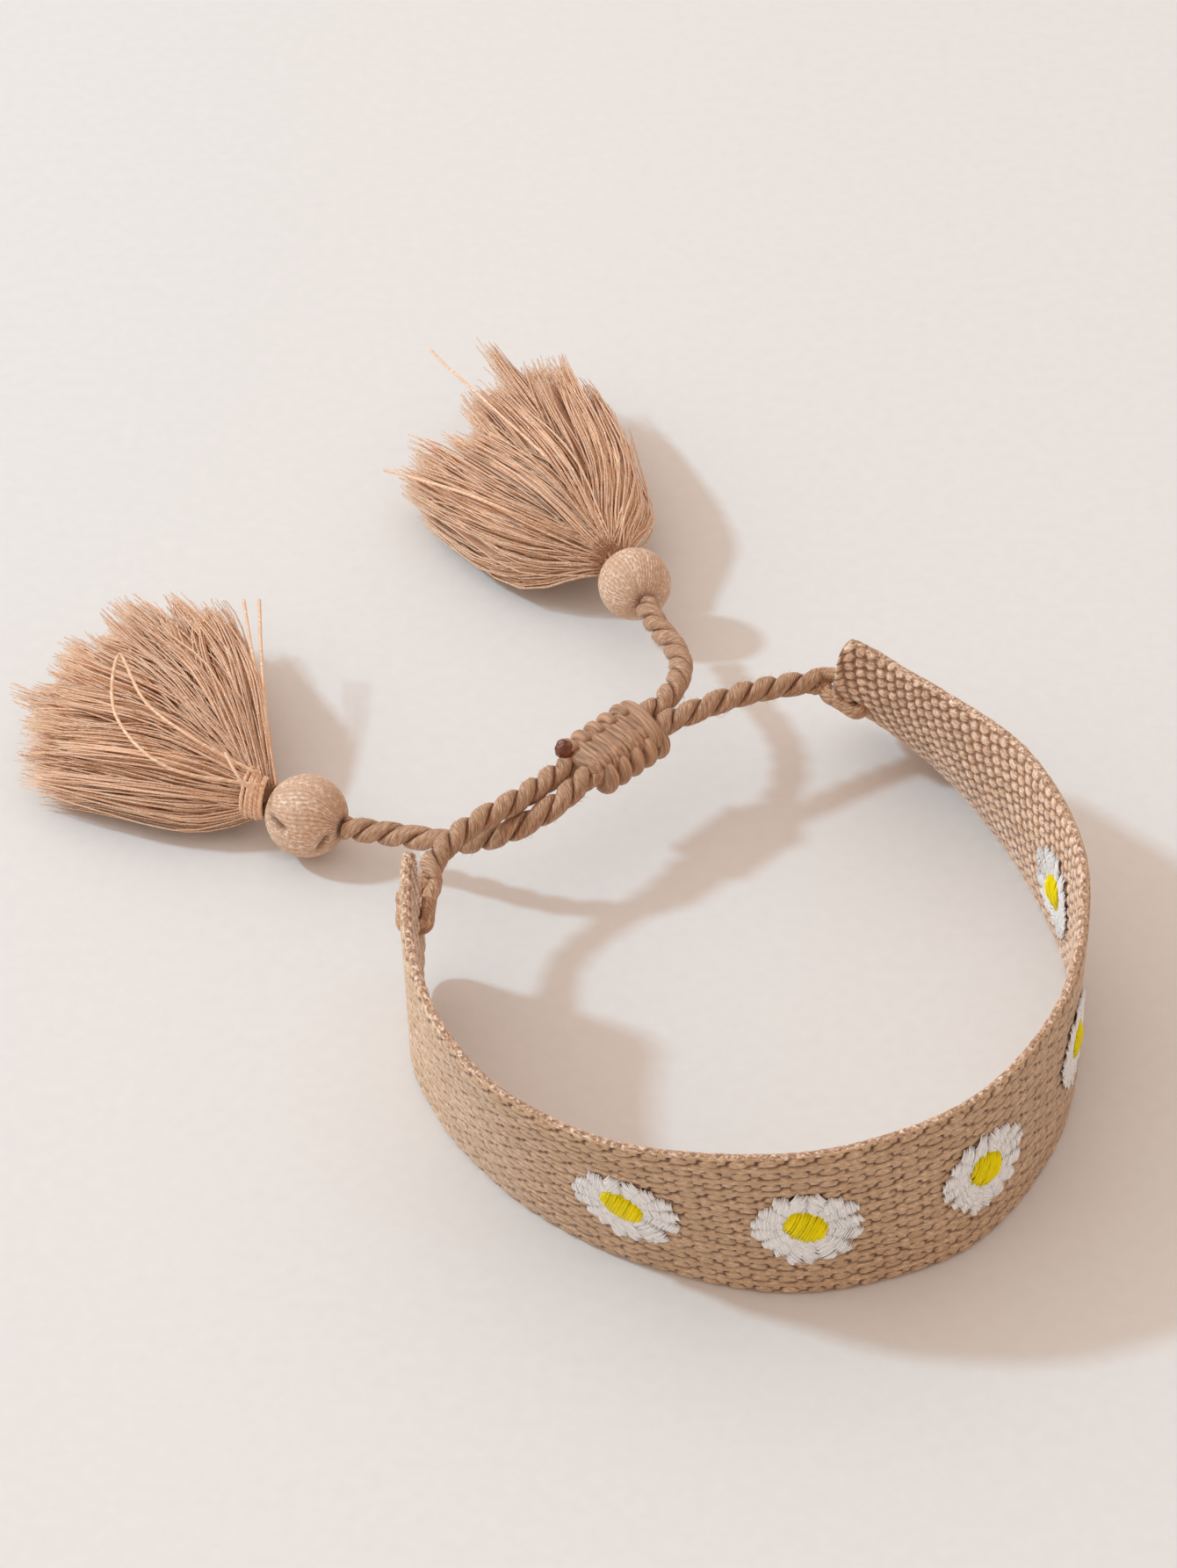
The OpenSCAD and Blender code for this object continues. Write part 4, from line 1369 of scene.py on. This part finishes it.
# %% Tassel strands
# Columns: middle of the lock x, y, z; tip x, y, z; radius in the middle and at the tip. Places
# along a lock are counted in its rows, from 0 at the neck to 4 at the tip.
LEFT_LOCKS = [
    [-41.8, 18.1, 2.5, -53.2, 21.3, 2.0, 2.4, 1.4], [-42.6, 18.9, 4.8, -53.4, 22.7, 3.8, 2.1, 1.4],
    [-43.8, 23.1, 2.4, -54.0, 27.1, 2.0, 2.3, 1.7], [-42.9, 22.5, 5.2, -52.6, 28.7, 4.4, 2.1, 1.6],
    [-43.6, 27.7, 2.4, -51.4, 33.5, 2.0, 2.3, 1.8], [-42.1, 25.5, 5.2, -49.4, 33.9, 4.6, 2.2, 1.7],
    [-41.6, 30.1, 2.4, -47.4, 38.5, 2.2, 2.3, 1.7], [-40.0, 26.9, 5.2, -45.0, 36.5, 4.6, 2.1, 1.6],
    [-38.9, 28.5, 2.6, -42.0, 37.5, 2.6, 2.0, 1.3], [-37.8, 25.1, 4.6, -40.4, 36.1, 4.2, 1.8, 1.0]]
FAR_LOCKS = [
    [-16.6, 44.9, 3.0, -24.4, 53.5, 2.4, 2.2, 1.4], [-16.6, 45.5, 5.8, -25.2, 53.7, 4.4, 2.0, 1.5],
    [-17.0, 50.5, 3.0, -24.8, 58.3, 2.4, 2.2, 1.7], [-15.2, 48.5, 6.4, -22.2, 57.7, 4.8, 2.0, 1.4],
    [-14.0, 53.1, 3.2, -19.4, 61.9, 2.6, 2.2, 1.3], [-14.2, 51.5, 6.4, -20.4, 65.5, 5.0, 2.0, 1.5],
    [-13.0, 56.1, 3.2, -18.4, 69.9, 3.0, 2.2, 1.6], [-11.8, 52.9, 6.4, -16.2, 67.3, 5.0, 2.0, 1.5],
    [-10.6, 54.9, 3.4, -13.8, 68.7, 3.2, 2.2, 1.5], [-9.4, 50.7, 5.8, -12.2, 64.1, 4.6, 2.0, 1.2],
    [-8.6, 48.9, 3.8, -9.8, 59.1, 4.0, 2.1, 0.9]]
STRANDS = 2900
STRAND_R = 0.085
STRAND_RINGS = 11
CORE_RINGS = 12
CORE_END = 3.45
CORE_SHARE = 0.58
CLUMPS = 150
LOCK_STEP = 0.7549
ROUND_STEP = 0.5698
SLOW_WANDER = 0.20
OWN_WANDER = 0.07
TRACK_END = 4.6
TRACK_STEPS = 92


# %% Lines of the strands
def lock_rows(start, start_r, lock):
    """Five rows of place and radius along one lock, from the neck to its tip."""
    belly = np.array(lock[:3])
    tip = np.array(lock[3:6])
    mid_r, tip_r = lock[6:]
    return np.array([[*start, start_r], [*(0.6 * start + 0.4 * belly), 0.8 * mid_r],
                     [*belly, mid_r], [*(0.45 * belly + 0.55 * tip), (mid_r + tip_r) / 2],
                     [*tip, tip_r]])


def strand_paths(rows):
    """Clump = line between two neighbour locks + offset * their radius + a slow wander; strand =
    its clump + a small share of that radius + a wander of its own. Multiples of LOCK_STEP and
    ROUND_STEP spread the clumps evenly over the locks and round them."""
    number = np.arange(CLUMPS)
    spread = (0.5 + LOCK_STEP * number) % 1
    spread = (0.4 * spread + 0.3 - 0.3 * np.cos(np.pi * spread)) * (len(rows) - 1)
    first = np.floor(spread).astype(int)
    second = np.minimum(first + rng.integers(1, 3, CLUMPS), len(rows) - 1)
    share = (spread - first)[:, None, None]
    clump_reach = 4 * rng.uniform(0.84, 1.02, CLUMPS) ** 0.9
    clump_a = -np.pi / 2 + 2.3 * (2 * ((0.5 + ROUND_STEP * number) % 1) - 1)
    clump_far = np.sqrt(rng.uniform(0.55, 0.88, CLUMPS))
    clump_phase = rng.uniform(0, 6.3, (CLUMPS, 1, 3))
    clump_rate = rng.uniform(0.7, 1.5, (CLUMPS, 1, 1))
    k = rng.integers(0, CLUMPS, STRANDS)
    reach = clump_reach[k] * rng.uniform(0.93, 1.03, STRANDS)
    u = np.linspace(0, 1, STRAND_RINGS)[None] * reach[:, None]
    tracks = np.array([row_at(r, np.linspace(0, TRACK_END, TRACK_STEPS + 1)) for r in rows])
    at = u / TRACK_END * TRACK_STEPS
    low = np.clip(np.floor(at).astype(int), 0, TRACK_STEPS - 1)
    part = (at - low)[..., None]
    one, two = [tracks[lock, low] * (1 - part) + tracks[lock, low + 1] * part
                for lock in (first[k][:, None], second[k][:, None])]
    line = one * (1 - share[k]) + two * share[k]
    place, size = line[..., :3], line[..., 3]
    _, across, over = ring_frame(place, (0, 0, 1))
    a = (clump_a[k] + 0.176 * rng.uniform(-1, 1, STRANDS))[:, None]
    offset = (size - STRAND_R) * clump_far[k][:, None]
    loose = np.clip(rng.normal(0, 0.19, (2, STRANDS, 1)), -0.4, 0.4) * size
    path = (place + (offset * np.cos(a) + loose[0])[..., None] * across
            + (offset * np.sin(a) + loose[1])[..., None] * over)
    slow = np.sin(u[..., None] * clump_rate[k] + clump_phase[k]) - np.sin(clump_phase[k])
    phase = rng.uniform(0, 6.3, (STRANDS, 1, 3))
    rate = rng.uniform(1.0, 2.6, (STRANDS, 1, 1))
    wave = np.sin(u[..., None] * rate + phase) - np.sin(phase)
    path = path + (SLOW_WANDER * slow + OWN_WANDER * wave) * u[..., None] ** 0.8
    path[..., 2] = np.maximum(path[..., 2], STRAND_R + 0.04)
    return path, rng.uniform(0, 1, CLUMPS)[k]


# %% The neck and the loose strands
def neck_wraps(neck, aim, radius):
    """Seven turns of thread round the neck, each a ring that leans."""
    a = 2 * np.pi * np.linspace(0, 1, 33)
    up = np.array([0.0, 0.0, 1.0])
    side = np.cross(aim, up)
    rings = []
    for k in range(7):
        lean = (0.50 + 0.05 * (k % 3)) * np.cos(a + 0.15 * (k % 2)) + 0.5 + 0.24 * k
        size = radius * (0.90 + 0.04 * k + 0.04 * np.sin(a + 2.0 * k))[:, None]
        rings.append(neck + lean[:, None] * aim
                     + size * (np.cos(a)[:, None] * side + np.sin(a)[:, None] * up))
    points = thread_tubes(np.array(rings), 0.16, 8, ref=aim + 0.01)
    return tube_part(points, radius * a, 0.75, 0.6)


def loose_strands(loose):
    """Smooth tubes along the tables of the single strands."""
    paths = np.array([row_at(rows, np.linspace(0, len(rows) - 1, 40)) for rows in loose])
    return tube_part(thread_tubes(paths, 0.13, 6), np.linspace(0, 20, 40), 1.0, 0.6)


def strand_tassel(name, node, bead_at, bead_d, locks, loose, turn, neck_r, wraps):
    """Core tubes inside the locks, strands over them and the loose strands, as one piece. wraps
    is the radius of the turns round the neck, or nought where they don't show."""
    aim = np.array([math.cos(turn), math.sin(turn), 0])
    neck = bead_at + (bead_d / 2 + 0.08) * aim
    start = neck + 0.9 * aim
    rows = [lock_rows(start, 0.5 * neck_r, lock) for lock in locks]
    rows_at = np.array([row_at(r, np.linspace(0, CORE_END, CORE_RINGS)) for r in rows])
    core = thread_tubes(rows_at[..., :3], CORE_SHARE * rows_at[..., 3], 16)
    paths, clump_tone = strand_paths(rows)
    t = np.linspace(0, 1, STRAND_RINGS)
    slim = np.interp(t, [0, 0.85, 1], [1, 1, 0.45])
    radii = STRAND_R * slim * rng.uniform(0.8, 1.2, (len(paths), 1))
    steps = np.linalg.norm(np.diff(paths, axis=1), axis=-1)
    run = np.concatenate([np.zeros((len(paths), 1)), np.cumsum(steps, axis=1)], axis=1)
    # Painted shade: the strands darken towards the neck, where they are packed.
    depth = np.interp(t, [0, 0.12, 0.3, 1], [0.45, 0.7, 0.95, 1.0])[:, None]
    own_tone = 0.5 * clump_tone + 0.5 * rng.uniform(0, 1, len(paths))
    # Painted light: the tone rises towards the tips, as light shines through the thin fibres
    # there.
    tone = own_tone[:, None, None] + 0.35 * t[:, None] ** 3
    # Painted shade: the core under the strands is darker.
    parts = [tube_part(core, np.linspace(0, 0.3, CORE_RINGS), 0.45, 0.2),
             tube_part(thread_tubes(paths, radii, 3), run, depth, tone), loose_strands(loose)]
    if wraps:
        parts.append(neck_wraps(neck, aim, wraps))
    return add_piece(name, *join_parts(parts), tassel_cotton, "tassel", node)


# %% The two tassels
LEFT_LOOSE = [
    [[-34.6, 17.6, 4.0], [-35.2, 20.9, 5.0], [-36.0, 25.7, 6.0], [-36.9, 30.1, 7.0],
     [-37.7, 34.9, 7.5]],
    [[-34.5, 17.5, 4.2], [-35.1, 20.9, 5.0], [-35.6, 24.7, 6.0], [-36.1, 29.6, 7.0],
     [-36.5, 34.9, 7.5]],
    [[-35.3, 16.4, 5.2], [-42.3, 15.9, 7.6], [-46.4, 20.9, 8.3], [-46.6, 27.3, 8.6],
     [-44.3, 22.5, 8.1], [-40.5, 19.0, 7.6], [-35.6, 17.2, 5.6]],
    [[-38.0, 17.0, 8.0], [-37.3, 15.6, 7.6], [-36.6, 14.9, 6.9], [-35.7, 15.2, 5.6]]]
FAR_LOOSE = [
    [[-9.3, 42.0, 5.4], [-13.3, 49.2, 8.2], [-19.0, 58.7, 7.6], [-22.7, 65.2, 6.6],
     [-24.2, 67.8, 6.4]],
    [[-9.3, 42.0, 5.2], [-18.8, 45.9, 8.0], [-25.2, 51.4, 6.2], [-27.6, 53.6, 5.2]]]
left_tassel = strand_tassel("strand_tassel_left", "left_tassel", LEFT_BEAD_AT, LEFT_BEAD_D,
                            LEFT_LOCKS, LEFT_LOOSE, turn=math.radians(150), neck_r=2.2,
                            wraps=1.6)
far_tassel = strand_tassel("strand_tassel_far", "far_tassel", FAR_BEAD_AT, FAR_BEAD_D,
                           FAR_LOCKS, FAR_LOOSE, turn=math.radians(124), neck_r=2.6, wraps=0)

# %% [markdown]

# %% [markdown]
# ## The floor and the light
#
# The photograph has a pale seamless ground, a window high on the left that casts a clear shadow
# with soft edges, and warm light from the room that fills the shadows. A small lamp stands for
# the window, and the world for the room: a little of its light comes from everywhere, most from
# the lamp's side, and some from the right. The window's light is cool and the room's is warm.

# %% Floor
def seamless_floor():
    """A wide flat plane with a faint unevenness of tone."""
    mesh = bpy.data.meshes.new("floor")
    mesh.from_pydata([(-1.5, -1.5, 0), (1.5, -1.5, 0), (1.5, 1.5, 0), (-1.5, 1.5, 0)], [],
                     [(0, 1, 2, 3)])
    material, shader = plain_material("pale_ground", 900, 4, (0.80, 0.79, 0.78, 1),
                                      (0.86, 0.85, 0.84, 1), 0.9)
    shader.inputs["Specular IOR Level"].default_value = 0.1
    mesh.materials.append(material)
    floor = bpy.data.objects.new("floor", mesh)
    bpy.context.scene.collection.objects.link(floor)
    return floor


floor = seamless_floor()

# %% Lights
def small_lamp(place, radius, power, colour):
    """A round lamp whose light weakens with the distance itself, not with its square, because
    the window that it stands for is large."""
    data = bpy.data.lights.new("lamp", "POINT")
    data.use_nodes = True
    tree = data.node_tree
    gentle = tree.nodes.new("ShaderNodeLightFalloff")
    gentle.inputs["Strength"].default_value = 1.0
    tree.links.new(gentle.outputs["Linear"], tree.nodes["Emission"].inputs["Strength"])
    data.shadow_soft_size = radius
    data.energy = power
    data.color = colour
    lamp = bpy.data.objects.new("lamp", data)
    lamp.location = place
    bpy.context.scene.collection.objects.link(lamp)
    return lamp


lamp = small_lamp(place=(-0.403, 0.081, 0.356), radius=0.023, power=9.14,
                  colour=(0.545, 0.83, 1.0))


def room_light(low, high, towards, right):
    """Room light whose strength is low + high * the direction's share towards one side + right *
    its share to the right."""
    world = bpy.data.worlds.new("room")
    world.use_nodes = True
    tree = world.node_tree
    place = tree.nodes.new("ShaderNodeTexCoord").outputs["Generated"]
    share = add_node(tree, "ShaderNodeVectorMath", operation="DOT_PRODUCT")
    tree.links.new(place, share.inputs[0])
    share.inputs[1].default_value = towards
    near_lamp = Value(tree, share.outputs["Value"]).higher(0.0)
    on_right = split(tree, place)[0].higher(0.0)
    ground = tree.nodes["Background"]
    ground.inputs["Color"].default_value = (0.86, 0.72, 0.632, 1)
    feed(tree, ground.inputs["Strength"], near_lamp * high + low + on_right * right)
    bpy.context.scene.world = world


room_light(low=0.59, high=0.75, towards=(-0.70, 0.33, 0.63), right=0.20)
bpy.context.scene.view_settings.view_transform = "Standard"
print("lamp at", tuple(lamp.location))
